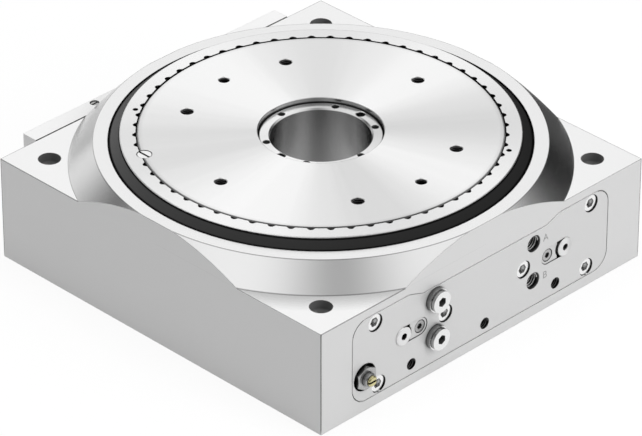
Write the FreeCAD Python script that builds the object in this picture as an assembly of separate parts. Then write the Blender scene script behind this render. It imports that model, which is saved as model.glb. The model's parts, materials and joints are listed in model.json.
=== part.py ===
import FreeCAD, Part
import math
import os

# A pneumatic rotary indexing table. Sizes are millimetres. The origin is on the turning axis in
# the bottom mounting face. +Z is up, the control cover with the air ports faces -Y.

# Cylinders and what stands on them
cylinder_z = 33.7
cylinder_r = 16.0
wall_over_cylinder = 4.8
piston_gap = 0.05
end_gap = 5.9
groove_depth = 2.4
seal_w = 4.0
guide_w = 7.0
seal_from_end = 6.0
guide_from_end = 18.0
running_gap = 1.0
fit_gap = 0.05
loose_gap = 0.3

# Turntable and the ring that sets the bearing play
plate_d = 220.0
plate_t = 12.0
plate_over_rim = 4.7
adjusting_ring_w = 9.2
adjusting_ring_h = 10.5
seam_w = 0.5
seam_depth = 3.0
seam_chamfer = 0.8
skirt_t = 8.8
flange_w = 3.4
flange_t = 2.5
plate_pitch_d = 152.0
plate_thread_core_d = 6.8
plate_thread_count = 6
dowel_d = 6.0
dowel_depth = 10.0
plate_dowel_first = 90.0
notch_count = 60
notch_r = 1.8
notch_depth = 5.0
spanner_hole_d = 3.0
spanner_hole_in = 3.3
spanner_hole_angles = (123.0, 303.0)
ring_screw_d = 8.0
ring_screw_in = 1.9
ring_screw_angle = 150.0
ring_screw_l = 8.0
ring_screw_sink = 0.25
ring_screw_gap = 0.3
ring_screw_slot_w = 1.0
ring_screw_slot_depth = 2.0
edge_chamfer = 0.4

# Crossed roller bearing, from the plate's thread outwards
bearing_h = 13.0
inner_ring_w = 5.7
race_gap = 4.0
outer_ring_w = 4.5
roller_d = 6.0
roller_l = 5.9
roller_count = 36
race_clearance = 0.1
cage_t = 1.6
cage_end_gap = 0.3
cage_hole_d = 6.6

# Rim seal
seal_step = 1.4
seal_edge_gap = 0.8
seal_shoulder_drop = 1.2
seal_lip_gap = 0.1
seal_lip_w = 0.25
seal_lip_h = 0.6
seal_wall_gap = 1.5
seal_lip_drop = 1.4
seal_edge_drop = 0.3

# Housing
housing_wall = 7.6
rim_land = 8.1
cone_height = 13.8
corner_hole_edge = 19.0
corner_hole_d = 12.5
trench_gap = 1.5
chamber_clearance = 1.0
thread_l = 14.0

# Hub
hub_bore_r = 27.7
hub_wall = 6.3
hub_drop = 3.0
hub_gap = 0.6
hub_flange_w = 12.0
hub_flange_t = 6.0
hub_hole_in = 3.0
hub_thread_core_d = 4.2
hub_thread_count = 6
hub_thread_depth = 12.0
hub_dowel_d = 5.0
hub_dowel_depth = 8.0
hub_screw_count = 6
hub_bore_chamfer = 1.0

# Base plate
base_plate_t = 10.0
base_land = 13.0
base_screw_angles = (40.0, 90.0, 140.0, 220.0, 270.0, 320.0)

# Rack and gear
gear_module = 2.0
gear_teeth = 50
gear_face = 20.0
pressure_angle = 20.0
backlash = 0.2
rack_offset = 12.7
rack_half_width = 18.0
carrier_step = 1.5
carrier_relief = 1.7
carrier_relief_h = 2.0
bush_t = 2.0
washer_t = 2.0
washer_w = 9.7

# Pawl and index plate
pawl_d = 10.0
pawl_l = 12.0
pawl_tip = 0.6
spring_l = 10.0
spring_wire_d = 1.2
spring_gap = 0.6
spring_turns = 4
spring_bends = 12
index_plate_t = 8.0
index_plate_gap = 3.0
index_count = 12
pocket_gap = 0.15
index_bush_t = 1.5
index_screw_edge = 6.0
index_screw_first = 15.0
index_dowel_angles = (45.0, 225.0)

# Lock
lock_stroke = 16.0
lock_lift = 5.0
lock_bolt_d = 12.0
lock_bolt_drop = 0.7
lock_bolt_tip = 1.5
lock_bush_t = 2.0
lock_bush_l = 10.0
lock_ramp_rise = 7.1
lock_slot_w = 13.0
lock_slot_end = 1.5
lock_flat_gap = 2.2

# Control cover on the port face, in heights and distances from the cylinder's axis
cover_t = 10.0
gasket_t = 0.5
gasket_inset = 1.0
gasket_hole_gap = 0.6
cover_seam = 0.45
cover_left_margin = 23.5
cover_right_margin = 26.8
cover_drop = 26.9
cover_rise = 23.6
cover_middle_drop = 3.7
cover_step_in = 48.0
cover_step_out = 58.0
cover_corner_r = 10.0
cover_screw_offsets = ((21.0, 18.1), (18.3, -21.6), (-32.3, -0.5))
port_in = 24.4
port_upper_rise = 12.5
port_lower_drop = 11.2
port_core_d = 8.8
port_rim = 0.8
port_channel_d = 5.0
port_branch_d = 4.0
port_branch_in = 7.0
plug_head_r = 7.1
plug_disc_r = 6.3
plug_neck_r = 5.8
plug_disc_t = 1.6
plug_groove_w = 0.6
plug_proud = 5.2
plug_socket_flats = 5.0
plug_socket_l = 4.0
tapped_side_in = 6.5
tapped_side_drop = 20.7
tapped_middle_x = 0.4
tapped_middle_drop = 21.1
tapped_core_d = 6.8
tapped_beyond = 6.0

# Sensor sleeves in the control cover
sleeve_d = 11.0
sleeve_bore_d = 4.0
sleeve_proud = 0.9
sleeve_l = 14.0
sleeve_floor_t = 2.0
clamp_screw_in = 13.1
clamp_pocket_r = 5.4
clamp_pocket_depth = 5.0
clamp_t = 4.6
clamp_hollow_shift = 0.9

# Shock absorber
damper_out = 28.7
damper_drop = 12.4
damper_d = 12.0
damper_thread_d = 8.0
damper_recess_r = 8.2
damper_recess_depth = 4.5
damper_nut_flats = 13.0
damper_nut_t = 6.5
damper_nut_crown = 0.2
damper_stub_proud = 4.9
damper_stub_chamfer = 0.5
damper_stroke = 8.0
damper_rod_d = 4.0
damper_head_d = 8.0
damper_head_t = 4.0
damper_head_front_y = -38.0
damper_oil_r = 4.4
damper_gland_l = 9.0
damper_end_play = 2.0
damper_piston_t = 3.0
adjuster_d = 6.2
adjuster_stem_d = 4.0
adjuster_proud = 6.4
adjuster_chamfer = 0.6
adjuster_slot_w = 1.0
adjuster_slot_depth = 1.2

# Buffer arm on the drive piston
arm_t = 10.0
arm_gap = 0.3
arm_past_damper = 5.1
arm_neck_out = 13.3
arm_below_damper = 4.8
arm_neck_below = 12.9
arm_top_below = 6.5
arm_side_gap = 1.9
pocket_reach = 8.3
arm_top_gap = 1.2
arm_rear_gap = 3.0
arm_screw_bite = 7.0
pocket_cover_t = 4.0
pocket_cover_land = 6.0
pocket_cover_from_plate = 2.0

# Rear cover
rear_cover_t = 11.0
rear_gasket_t = 0.8
rear_gasket_inset = 1.6
rear_margin = 26.8
rear_bottom_z = 4.0
rear_corner_r = 6.0
spigot_l = 10.0
spigot_gap = 0.1
grub_x = 46.8
grub_from_back = 3.4
grub_d = 4.4
grub_l = 5.0
grub_sink = 0.5
grub_slot_w = 0.8
grub_slot_depth = 1.0

# Socket cap screws: thread, head and socket sizes and the lengths under the head
m3_d = 3.0
m3_head_d = 5.5
m3_flats = 2.5
m4_d = 4.0
m4_head_d = 7.0
m4_head_h = 2.2
m4_flats = 3.0
m5_d = 5.0
m5_head_d = 8.5
m5_flats = 4.0
m6_d = 6.0
m6_head_d = 9.8
m6_flats = 5.0
base_screw_l = 12.0
pocket_screw_l = 7.0
cover_screw_l = 16.0
rear_screw_l = 14.0
clamp_screw_l = 6.0
index_screw_l = 8.0
socket_share = 0.6
head_clearance = 0.4
head_sink = 0.9
small_head_sink = 0.2

m3_screw = {"d": m3_d, "head_d": m3_head_d, "head_h": m3_d, "flats": m3_flats}
m4_screw = {"d": m4_d, "head_d": m4_head_d, "head_h": m4_head_h, "flats": m4_flats}
m5_screw = {"d": m5_d, "head_d": m5_head_d, "head_h": m5_d, "flats": m5_flats}
m6_screw = {"d": m6_d, "head_d": m6_head_d, "head_h": m6_d, "flats": m6_flats}

# Heights, counted up from the cylinders
trench_z = cylinder_z + cylinder_r + wall_over_cylinder
skirt_bottom_z = trench_z + running_gap
bearing_bottom_z = skirt_bottom_z + flange_t
bearing_mid_z = bearing_bottom_z + bearing_h / 2.0
bearing_top_z = bearing_bottom_z + bearing_h
total_height = bearing_top_z + adjusting_ring_h
rim_top_z = total_height - plate_over_rim
corner_top_z = rim_top_z - cone_height
plate_bottom_z = total_height - plate_t
index_bottom_z = plate_bottom_z - index_plate_t
island_z = index_bottom_z - running_gap
hub_top_z = total_height - hub_drop
base_head_z = m5_d + head_sink
index_head_z = index_bottom_z + m5_d + small_head_sink
pocket_head_z = m3_d + small_head_sink

# Radii, counted out from the plate's thread
plate_r = plate_d / 2.0
thread_r = plate_r - adjusting_ring_w
skirt_inner_r = thread_r - skirt_t
island_r = skirt_inner_r - trench_gap
index_plate_r = skirt_inner_r - index_plate_gap
index_screw_r = index_plate_r - index_screw_edge
inner_ring_outer_r = thread_r + inner_ring_w
trench_wall_r = inner_ring_outer_r + trench_gap
roller_pitch_r = inner_ring_outer_r + race_gap / 2.0
outer_ring_inner_r = inner_ring_outer_r + race_gap
bearing_seat_r = outer_ring_inner_r + outer_ring_w
seal_seat_r = bearing_seat_r + seal_step
seal_outer_r = seal_seat_r - seal_edge_gap
rim_r = seal_seat_r + rim_land
half_side = seal_seat_r + housing_wall
corner_hole_out = half_side - corner_hole_edge
hub_r = hub_bore_r + hub_wall
hub_flange_r = hub_r + hub_flange_w
hub_screw_r = (hub_r + hub_flange_r) / 2.0
hub_hole_r = hub_bore_r + hub_hole_in
plate_bore_r = hub_r + hub_gap

# Rack, gear and strokes
index_angle = 360.0 / index_count
gear_pitch_r = gear_module * gear_teeth / 2.0
gear_tip_r = gear_pitch_r + gear_module
gear_dedendum = 1.25 * gear_module
gear_root_r = gear_pitch_r - gear_dedendum
carrier_r = gear_root_r + carrier_step
chamber_r = gear_tip_r + chamber_clearance
base_seat_r = chamber_r + base_land
base_screw_r = chamber_r + base_land / 2.0
gear_bore_r = hub_r + bush_t
gear_sleeve_r = hub_r + loose_gap + washer_w
pawl_r = (gear_bore_r + carrier_r) / 2.0
gear_bottom_z = base_plate_t + hub_flange_t + washer_t + fit_gap
gear_low_z = cylinder_z - gear_face / 2.0
gear_high_z = cylinder_z + gear_face / 2.0
carrier_top_z = island_z - loose_gap
cylinder_x = gear_pitch_r + rack_offset
drive_stroke = gear_pitch_r * math.radians(index_angle)
piston_r = cylinder_r - piston_gap
cylinder_front_y = -(half_side - cover_t)
cylinder_rear_y = half_side - spigot_l
drive_half_l = (cylinder_rear_y - cylinder_front_y - drive_stroke) / 2.0 - end_gap
drive_mid_y = drive_stroke / 2.0
lock_half_l = (cylinder_rear_y - cylinder_front_y - lock_stroke) / 2.0 - end_gap
lock_mid_y = lock_stroke / 2.0
ramp_slope = lock_lift / lock_stroke
ramp_rest_z = cylinder_z + lock_ramp_rise
lock_top_z = index_bottom_z - lock_bolt_drop
pawl_top_z = index_bottom_z - lock_bolt_drop
spring_coil_r = (pawl_d - spring_wire_d) / 2.0 - spring_gap

# Control cover, shock absorber and buffer arm
cover_inner_y = cylinder_front_y - gasket_t
cover_head_y = -half_side + m6_d + head_sink
cover_left = half_side - cover_left_margin
cover_right = half_side - cover_right_margin
cover_bottom_z = cylinder_z - cover_drop
cover_top_z = cylinder_z + cover_rise
cover_middle_z = cover_top_z - cover_middle_drop
cover_screw_places = [(side * (cylinder_x + out), cylinder_z + up)
                      for out, up in cover_screw_offsets for side in (-1, 1)]
tapped_places = [(side * (cylinder_x - tapped_side_in), cylinder_z - tapped_side_drop) for side in (-1, 1)]
tapped_places.append((tapped_middle_x, cylinder_z - tapped_middle_drop))
port_x = cylinder_x - port_in
port_upper_z = cylinder_z + port_upper_rise
port_lower_z = cylinder_z - port_lower_drop
port_heights = (port_upper_z, port_lower_z)
port_branch_y = cylinder_front_y + port_branch_in
port_channel_y = port_branch_y + port_channel_d / 2.0
clamp_screw_x = cylinder_x - clamp_screw_in
clamp_head_y = -half_side + clamp_pocket_depth - clamp_t + m4_head_h + small_head_sink
damper_x = -cylinder_x - damper_out
damper_z = cylinder_z - damper_drop
damper_nut_y = -half_side + damper_recess_depth
damper_stub_y = -half_side - damper_stub_proud
damper_end_y = damper_head_front_y - damper_head_t - damper_stroke - damper_end_play
damper_oil_y = damper_end_y - damper_gland_l
damper_tail_y = damper_oil_y - damper_piston_t - arm_gap
arm_front_y = damper_head_front_y + drive_stroke + arm_gap
arm_outer_x = damper_x - arm_past_damper
arm_neck_x = -cylinder_x - arm_neck_out
arm_root_x = -cylinder_x
arm_low_z = damper_z - arm_below_damper
arm_neck_z = cylinder_z - arm_neck_below
arm_top_z = cylinder_z - arm_top_below
arm_screw_z = (arm_neck_z + arm_top_z) / 2.0
arm_screw_y = arm_front_y + arm_t / 2.0
arm_head_x = arm_outer_x + m5_d + head_clearance
pocket_front_y = arm_front_y - drive_stroke - damper_stroke
pocket_rear_y = arm_front_y + arm_t + arm_rear_gap
pocket_left_x = arm_outer_x - arm_side_gap
pocket_right_x = -cylinder_x - pocket_reach
pocket_top_z = arm_top_z + arm_top_gap

# Rear cover
rear_half_w = half_side - rear_margin
rear_inner_y = half_side + rear_gasket_t
rear_outer_y = half_side + rear_cover_t
rear_head_y = rear_outer_y - m6_d - head_sink
grub_y = rear_outer_y - grub_from_back


def vec(x, y, z):
    return FreeCAD.Vector(x, y, z)


def box(x0, x1, y0, y1, z0, z1):
    return Part.makeBox(x1 - x0, y1 - y0, z1 - z0, vec(x0, y0, z0))


def disc(r, z0, z1, x=0.0, y=0.0):
    return Part.makeCylinder(r, z1 - z0, vec(x, y, z0))


def bar_y(r, y0, y1, x, z):
    return Part.makeCylinder(r, y1 - y0, vec(x, y0, z), vec(0, 1, 0))


def bar_x(r, x0, x1, y, z):
    return Part.makeCylinder(r, x1 - x0, vec(x0, y, z), vec(1, 0, 0))


def ring(r_in, r_out, z0, z1):
    return disc(r_out, z0, z1).cut(disc(r_in, z0 - 1, z1 + 1))


def polar(r, angle):
    return r * math.cos(math.radians(angle)), r * math.sin(math.radians(angle))


def turned(profile):
    """A solid of revolution about Z from a closed (radius, height) outline."""
    points = [vec(r, 0, z) for r, z in profile]
    face = Part.Face(Part.makePolygon(points + points[:1]))
    return face.revolve(vec(0, 0, 0), vec(0, 0, 1), 360)


def prism_z(outline, z0, z1):
    points = [vec(x, y, z0) for x, y in outline]
    face = Part.Face(Part.makePolygon(points + points[:1]))
    return face.extrude(vec(0, 0, z1 - z0))


def hexagon_y(flats, y0, y1, x, z):
    """A hexagonal bar along Y, standing on a corner."""
    r = flats / math.sqrt(3)
    points = [vec(x + r * math.sin(k * math.pi / 3), y0, z + r * math.cos(k * math.pi / 3)) for k in range(6)]
    return Part.Face(Part.makePolygon(points + points[:1])).extrude(vec(0, y1 - y0, 0))


def round_table(shape, count, first=0.0):
    """Copies of a shape spaced evenly round the turning axis."""
    copies = []
    for k in range(count):
        copy = shape.copy()
        copy.rotate(vec(0, 0, 0), vec(0, 0, 1), first + k * 360.0 / count)
        copies.append(copy)
    return copies


def at_angles(shape, angles):
    copies = []
    for angle in angles:
        copy = shape.copy()
        copy.rotate(vec(0, 0, 0), vec(0, 0, 1), angle)
        copies.append(copy)
    return copies


def group(shapes):
    return Part.makeCompound(shapes)


def cap_screw(size, place, into, length):
    """A socket cap screw. place is the underside of its head and into the way that it is driven."""
    back = vec(-into[0], -into[1], -into[2])
    screw = Part.makeCylinder(size["head_d"] / 2, size["head_h"], place, back)
    screw = screw.fuse(Part.makeCylinder(size["d"] / 2, length, place, into)).removeSplitter()
    r = size["flats"] / math.sqrt(3)
    socket = Part.makePolygon([vec(r * math.cos(k * math.pi / 3), r * math.sin(k * math.pi / 3), 0)
                               for k in range(7)])
    socket_floor = size["head_h"] * (1 - socket_share)
    socket = Part.Face(socket).extrude(vec(0, 0, size["head_h"]))
    socket.Placement = FreeCAD.Placement(place + back * socket_floor, FreeCAD.Rotation(vec(0, 0, 1), back))
    return screw.cut(socket)


def screw_hole(size, place, into, depth, recess):
    """The counterbore and clearance hole of a cap screw, seen from the outside face."""
    back = vec(-into[0], -into[1], -into[2])
    head = Part.makeCylinder((size["head_d"] + 2 * head_clearance) / 2, recess, place, back)
    return group([head, Part.makeCylinder((size["d"] + 2 * fit_gap) / 2, depth, place, into)])


def front_outline(grow):
    """The control cover's outline in X and Z, with sloping steps and round corners."""
    left = -cover_left - grow
    right = cover_right + grow
    low = cover_bottom_z - grow
    high = cover_top_z + grow
    middle = cover_middle_z + grow
    corner = cover_corner_r + grow
    bend = corner * (1 - math.sqrt(0.5))
    edges = []

    def line(a, b):
        edges.append(Part.makeLine(vec(a[0], 0, a[1]), vec(b[0], 0, b[1])))

    def arc(a, m, b):
        edges.append(Part.Arc(vec(a[0], 0, a[1]), vec(m[0], 0, m[1]), vec(b[0], 0, b[1])).toShape())

    line((left + corner, low), (right - corner, low))
    arc((right - corner, low), (right - bend, low + bend), (right, low + corner))
    line((right, low + corner), (right, high - corner))
    arc((right, high - corner), (right - bend, high - bend), (right - corner, high))
    line((right - corner, high), (cover_step_out, high))
    line((cover_step_out, high), (cover_step_in, middle))
    line((cover_step_in, middle), (-cover_step_in, middle))
    line((-cover_step_in, middle), (-cover_step_out, high))
    line((-cover_step_out, high), (left + corner, high))
    arc((left + corner, high), (left + bend, high - bend), (left, high - corner))
    line((left, high - corner), (left, low + corner))
    arc((left, low + corner), (left + bend, low + bend), (left + corner, low))
    return Part.Face(Part.Wire(edges))


def front_slab(grow, y0, y1):
    slab = front_outline(grow)
    slab.translate(vec(0, y0, 0))
    return slab.extrude(vec(0, y1 - y0, 0))


def rear_slab(inset, y0, y1):
    slab = box(-rear_half_w + inset, rear_half_w - inset, y0, y1, rear_bottom_z + inset, corner_top_z - inset)
    lower = [e for e in slab.Edges if abs(e.CenterOfMass.z - rear_bottom_z - inset) < 0.01
             and abs(abs(e.CenterOfMass.x) - rear_half_w + inset) < 0.01]
    return slab.makeFillet(rear_corner_r, lower)


def buffer_cover_outline(grow):
    right = -base_seat_r - pocket_cover_from_plate
    return (pocket_left_x - pocket_cover_land - grow, right + grow,
            pocket_front_y - pocket_cover_land - grow, pocket_rear_y + pocket_cover_land + grow)


def buffer_screw_places():
    x0, x1, y0, y1 = buffer_cover_outline(-pocket_cover_land / 2.0)
    return [(x, y) for x in (x0, (x0 + x1) / 2.0) for y in (y0, y1)]


def housing():
    body = box(-half_side, half_side, -half_side, half_side, 0, corner_top_z)
    cone = Part.makeCone(rim_r + cone_height, rim_r, cone_height, vec(0, 0, corner_top_z))
    body = body.fuse(cone.common(box(-half_side, half_side, -half_side, half_side, corner_top_z, rim_top_z)))
    body = body.removeSplitter()
    cavity = turned([(0, -1), (base_seat_r, -1), (base_seat_r, base_plate_t), (chamber_r, base_plate_t),
                     (chamber_r, island_z), (island_r, island_z), (island_r, trench_z),
                     (trench_wall_r, trench_z), (trench_wall_r, bearing_bottom_z),
                     (bearing_seat_r, bearing_bottom_z), (bearing_seat_r, bearing_top_z),
                     (seal_seat_r, bearing_top_z), (seal_seat_r, rim_top_z + 1), (0, rim_top_z + 1)])
    cuts = [cavity, front_slab(cover_seam, -half_side - 1, cylinder_front_y)]
    for side in (-1, 1):
        cuts.append(bar_y(cylinder_r, cylinder_front_y, half_side + 1, side * cylinder_x, cylinder_z))
        for z in port_heights:
            cuts.append(bar_y(port_channel_d / 2, cylinder_front_y, port_channel_y, side * port_x, z))
            reach = cylinder_x - math.sqrt(cylinder_r ** 2 - (z - cylinder_z) ** 2) + 1.0
            low, high = sorted((side * port_x, side * reach))
            cuts.append(bar_x(port_branch_d / 2, low, high, port_branch_y, z))
        for y in (-corner_hole_out, corner_hole_out):
            cuts.append(disc(corner_hole_d / 2, -1, rim_top_z, side * corner_hole_out, y))
    screw_r = m6_d / 2 + fit_gap
    for x, z in cover_screw_places:
        cuts.append(bar_y(screw_r, cylinder_front_y, cylinder_front_y + thread_l, x, z))
        cuts.append(bar_y(screw_r, half_side - thread_l, half_side, x, z))
    for x, z in tapped_places:
        cuts.append(bar_y(tapped_core_d / 2, cylinder_front_y, cylinder_front_y + tapped_beyond, x, z))
    cuts += buffer_space()
    bush_r = lock_bolt_d / 2 + fit_gap + lock_bush_t
    cuts.append(disc(bush_r, island_z - lock_bush_l, island_z, cylinder_x, 0))
    cuts.append(disc(lock_bolt_d / 2 + loose_gap, cylinder_z, island_z - lock_bush_l, cylinder_x, 0))
    base_tap = disc(m5_d / 2 + fit_gap, base_plate_t, base_head_z + base_screw_l + 1, base_screw_r)
    cuts += at_angles(base_tap, base_screw_angles)
    return body.cut(cuts)


def buffer_space():
    """The pocket that the buffer arm moves in, the damper's bore and the recess of its cover."""
    x0, x1, y0, y1 = buffer_cover_outline(fit_gap)
    spaces = [box(pocket_left_x, pocket_right_x, pocket_front_y, pocket_rear_y, -1, pocket_top_z),
              box(x0, x1, y0, y1, -1, pocket_cover_t),
              bar_y(damper_d / 2 + fit_gap, cylinder_front_y, pocket_front_y, damper_x, damper_z)]
    for x, y in buffer_screw_places():
        spaces.append(disc(m3_d / 2 + fit_gap, pocket_cover_t, pocket_cover_t + pocket_screw_l, x, y))
    return spaces


def base_plate():
    plate = ring(hub_r, base_seat_r - fit_gap, 0, base_plate_t)
    rim_hole, hub_hole = [screw_hole(m5_screw, vec(r, 0, base_head_z), vec(0, 0, 1), base_plate_t, base_plate_t)
                          for r in (base_screw_r, hub_screw_r)]
    return plate.cut(at_angles(rim_hole, base_screw_angles) + round_table(hub_hole, hub_screw_count))


def base_plate_screws():
    screw = cap_screw(m5_screw, vec(base_screw_r, 0, base_head_z), vec(0, 0, 1), base_screw_l)
    return group(at_angles(screw, base_screw_angles))


def buffer_pocket_cover():
    x0, x1, y0, y1 = buffer_cover_outline(0)
    plate = box(x0, x1, y0, y1, 0, pocket_cover_t)
    holes = [screw_hole(m3_screw, vec(x, y, pocket_head_z), vec(0, 0, 1), pocket_cover_t, pocket_cover_t)
             for x, y in buffer_screw_places()]
    return plate.cut(holes)


def buffer_pocket_screws():
    return group([cap_screw(m3_screw, vec(x, y, pocket_head_z), vec(0, 0, 1), pocket_screw_l)
                  for x, y in buffer_screw_places()])


def hub_tube():
    tube = turned([(hub_bore_r, 0), (hub_r, 0), (hub_r, base_plate_t), (hub_flange_r, base_plate_t),
                   (hub_flange_r, base_plate_t + hub_flange_t), (hub_r, base_plate_t + hub_flange_t),
                   (hub_r, hub_top_z - edge_chamfer), (hub_r - edge_chamfer, hub_top_z),
                   (hub_bore_r + hub_bore_chamfer, hub_top_z), (hub_bore_r, hub_top_z - hub_bore_chamfer)])
    thread = disc(hub_thread_core_d / 2, hub_top_z - hub_thread_depth, hub_top_z + 1, hub_hole_r)
    dowel = disc(hub_dowel_d / 2, hub_top_z - hub_dowel_depth, hub_top_z + 1, hub_hole_r)
    dowel_rim = Part.makeCone(hub_dowel_d / 2, hub_dowel_d / 2 + edge_chamfer, edge_chamfer,
                              vec(hub_hole_r, 0, hub_top_z - edge_chamfer))
    tap = disc(m5_d / 2 + fit_gap, base_plate_t, base_plate_t + hub_flange_t, hub_screw_r)
    cuts = round_table(thread, hub_thread_count, 180.0 / hub_thread_count)
    cuts += round_table(dowel, 2) + round_table(dowel_rim, 2) + round_table(tap, hub_screw_count)
    return tube.cut(cuts)


def hub_tube_screws():
    length = base_plate_t + hub_flange_t - base_head_z - loose_gap
    screw = cap_screw(m5_screw, vec(hub_screw_r, 0, base_head_z), vec(0, 0, 1), length)
    return group(round_table(screw, hub_screw_count))


def front_cover():
    cover = front_slab(0, -half_side, cover_inner_y)
    cuts = [screw_hole(m6_screw, vec(x, cover_head_y, z), vec(0, 1, 0), cover_t, cover_t)
            for x, z in cover_screw_places]
    for side in (-1, 1):
        for z in port_heights:
            cuts.append(bar_y(port_core_d / 2, -half_side - 1, cover_inner_y + 1, side * port_x, z))
            cuts.append(Part.makeCone(port_core_d / 2 + port_rim, port_core_d / 2, port_rim,
                                      vec(side * port_x, -half_side, z), vec(0, 1, 0)))
        cuts.append(bar_y(sleeve_d / 2 + fit_gap, -half_side - 1, cover_inner_y + 1,
                          side * cylinder_x, cylinder_z))
        cuts.append(clamp_pocket(side))
        cuts.append(bar_y(m4_d / 2 + fit_gap, -half_side, cover_inner_y - gasket_t,
                          side * clamp_screw_x, cylinder_z))
    for x, z in tapped_places:
        cuts.append(bar_y(tapped_core_d / 2, -half_side - 1, cover_inner_y + 1, x, z))
    cuts.append(bar_y(damper_recess_r, -half_side - 1, damper_nut_y, damper_x, damper_z))
    cuts.append(bar_y(damper_thread_d / 2 + fit_gap, damper_nut_y, cover_inner_y + 1, damper_x, damper_z))
    return cover.cut(cuts)


def clamp_pocket(side):
    """The long pocket that leads from the screw of the clamp to the sensor sleeve."""
    y0 = -half_side - 1
    y1 = -half_side + clamp_pocket_depth
    x0, x1 = sorted((side * clamp_screw_x, side * cylinder_x))
    shape = bar_y(clamp_pocket_r, y0, y1, side * clamp_screw_x, cylinder_z)
    shape = shape.fuse(box(x0, x1, y0, y1, cylinder_z - clamp_pocket_r, cylinder_z + clamp_pocket_r))
    return shape.removeSplitter()


def front_cover_gasket():
    gasket = front_slab(-gasket_inset, cover_inner_y, cylinder_front_y)
    cuts = [bar_y(m6_d / 2 + loose_gap, -half_side, 0, x, z) for x, z in cover_screw_places]
    cuts += [bar_y(tapped_core_d / 2 + gasket_hole_gap, -half_side, 0, x, z) for x, z in tapped_places]
    for side in (-1, 1):
        cuts.append(bar_y(cylinder_r, -half_side, 0, side * cylinder_x, cylinder_z))
        cuts += [bar_y(port_core_d / 2 + gasket_hole_gap, -half_side, 0, side * port_x, z)
                 for z in port_heights]
    cuts.append(bar_y(damper_d / 2 + loose_gap, -half_side, 0, damper_x, damper_z))
    return gasket.cut(cuts)


def front_cover_screws():
    return group([cap_screw(m6_screw, vec(x, cover_head_y, z), vec(0, 1, 0), cover_screw_l)
                  for x, z in cover_screw_places])


def port_plug(z):
    """A screw plug in the left air port: head with a front disc, a groove and a hexagon socket."""
    x = -port_x
    front = -half_side - plug_proud
    plug = bar_y(plug_disc_r, front, front + plug_disc_t, x, z)
    plug = plug.fuse([bar_y(plug_neck_r, front + plug_disc_t, front + plug_disc_t + plug_groove_w, x, z),
                      bar_y(plug_head_r, front + plug_disc_t + plug_groove_w, -half_side, x, z),
                      bar_y(port_core_d / 2, -half_side, cover_inner_y - 1, x, z)])
    return plug.removeSplitter().cut(hexagon_y(plug_socket_flats, front - 1, front + plug_socket_l, x, z))


def sensor_sleeve(side):
    front = -half_side - sleeve_proud
    back = front + sleeve_l
    x = side * cylinder_x
    sleeve = bar_y(sleeve_d / 2, front, back, x, cylinder_z)
    sleeve = sleeve.cut(bar_y(sleeve_bore_d / 2, front - 1, back - sleeve_floor_t, x, cylinder_z))
    middle_l = math.pi * (sleeve_d + sleeve_bore_d) / 2
    rim = [e for e in sleeve.Edges if abs(e.CenterOfMass.y - front) < 0.01 and e.Length > middle_l]
    return sleeve.makeChamfer(edge_chamfer, rim)


def sleeve_clamp(side):
    """The lug that holds a sensor sleeve, hollow where it meets the sleeve."""
    floor = -half_side + clamp_pocket_depth
    front = floor - clamp_t
    lug_r = clamp_pocket_r - loose_gap
    x0, x1 = sorted((side * clamp_screw_x, side * (cylinder_x - sleeve_d / 2)))
    lug = bar_y(lug_r, front, floor, side * clamp_screw_x, cylinder_z)
    lug = lug.fuse(box(x0, x1, front, floor, cylinder_z - lug_r, cylinder_z + lug_r)).removeSplitter()
    hollow_x = side * (cylinder_x - clamp_hollow_shift)
    place = vec(side * clamp_screw_x, clamp_head_y, cylinder_z)
    return lug.cut([bar_y(sleeve_d / 2 + loose_gap, front - 1, floor + 1, hollow_x, cylinder_z),
                    screw_hole(m4_screw, place, vec(0, 1, 0), clamp_t, clamp_t)])


def sleeve_clamp_screws():
    return group([cap_screw(m4_screw, vec(x, clamp_head_y, cylinder_z), vec(0, 1, 0), clamp_screw_l)
                  for x in (-clamp_screw_x, clamp_screw_x)])


def rear_cover():
    spigot_r = cylinder_r - spigot_gap
    cover = rear_slab(0, rear_inner_y, rear_outer_y)
    cover = cover.fuse([bar_y(spigot_r, cylinder_rear_y, rear_inner_y, x, cylinder_z)
                        for x in (-cylinder_x, cylinder_x)])
    cuts = [screw_hole(m6_screw, vec(x, rear_head_y, z), vec(0, -1, 0), rear_cover_t, rear_cover_t)
            for x, z in cover_screw_places]
    for side in (-1, 1):
        cuts.append(disc(grub_d / 2, corner_top_z - 2 * grub_l, corner_top_z + 1, side * grub_x, grub_y))
        cuts.append(Part.makeCone(grub_d / 2, grub_d / 2 + edge_chamfer, edge_chamfer,
                                  vec(side * grub_x, grub_y, corner_top_z - edge_chamfer)))
    return cover.cut(cuts)


def rear_cover_gasket():
    gasket = rear_slab(rear_gasket_inset, half_side, rear_inner_y)
    cuts = [bar_y(m6_d / 2 + loose_gap, 0, rear_outer_y, x, z) for x, z in cover_screw_places]
    cuts += [bar_y(cylinder_r, 0, rear_outer_y, side * cylinder_x, cylinder_z) for side in (-1, 1)]
    return gasket.cut(cuts)


def rear_cover_screws():
    return group([cap_screw(m6_screw, vec(x, rear_head_y, z), vec(0, -1, 0), rear_screw_l)
                  for x, z in cover_screw_places])


def rear_cover_grub_screws():
    top = corner_top_z - grub_sink
    half = grub_slot_w / 2
    screws = []
    for x in (-grub_x, grub_x):
        screw = disc(grub_d / 2, top - grub_l, top, x, grub_y)
        slot = box(x - grub_d, x + grub_d, grub_y - half, grub_y + half, top - grub_slot_depth, top + 1)
        screws.append(screw.cut(slot))
    return group(screws)


def race_reach():
    """Half the diagonal of the square channel that the crossed rollers run in."""
    return (roller_d / 2 + race_clearance) * math.sqrt(2)


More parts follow.
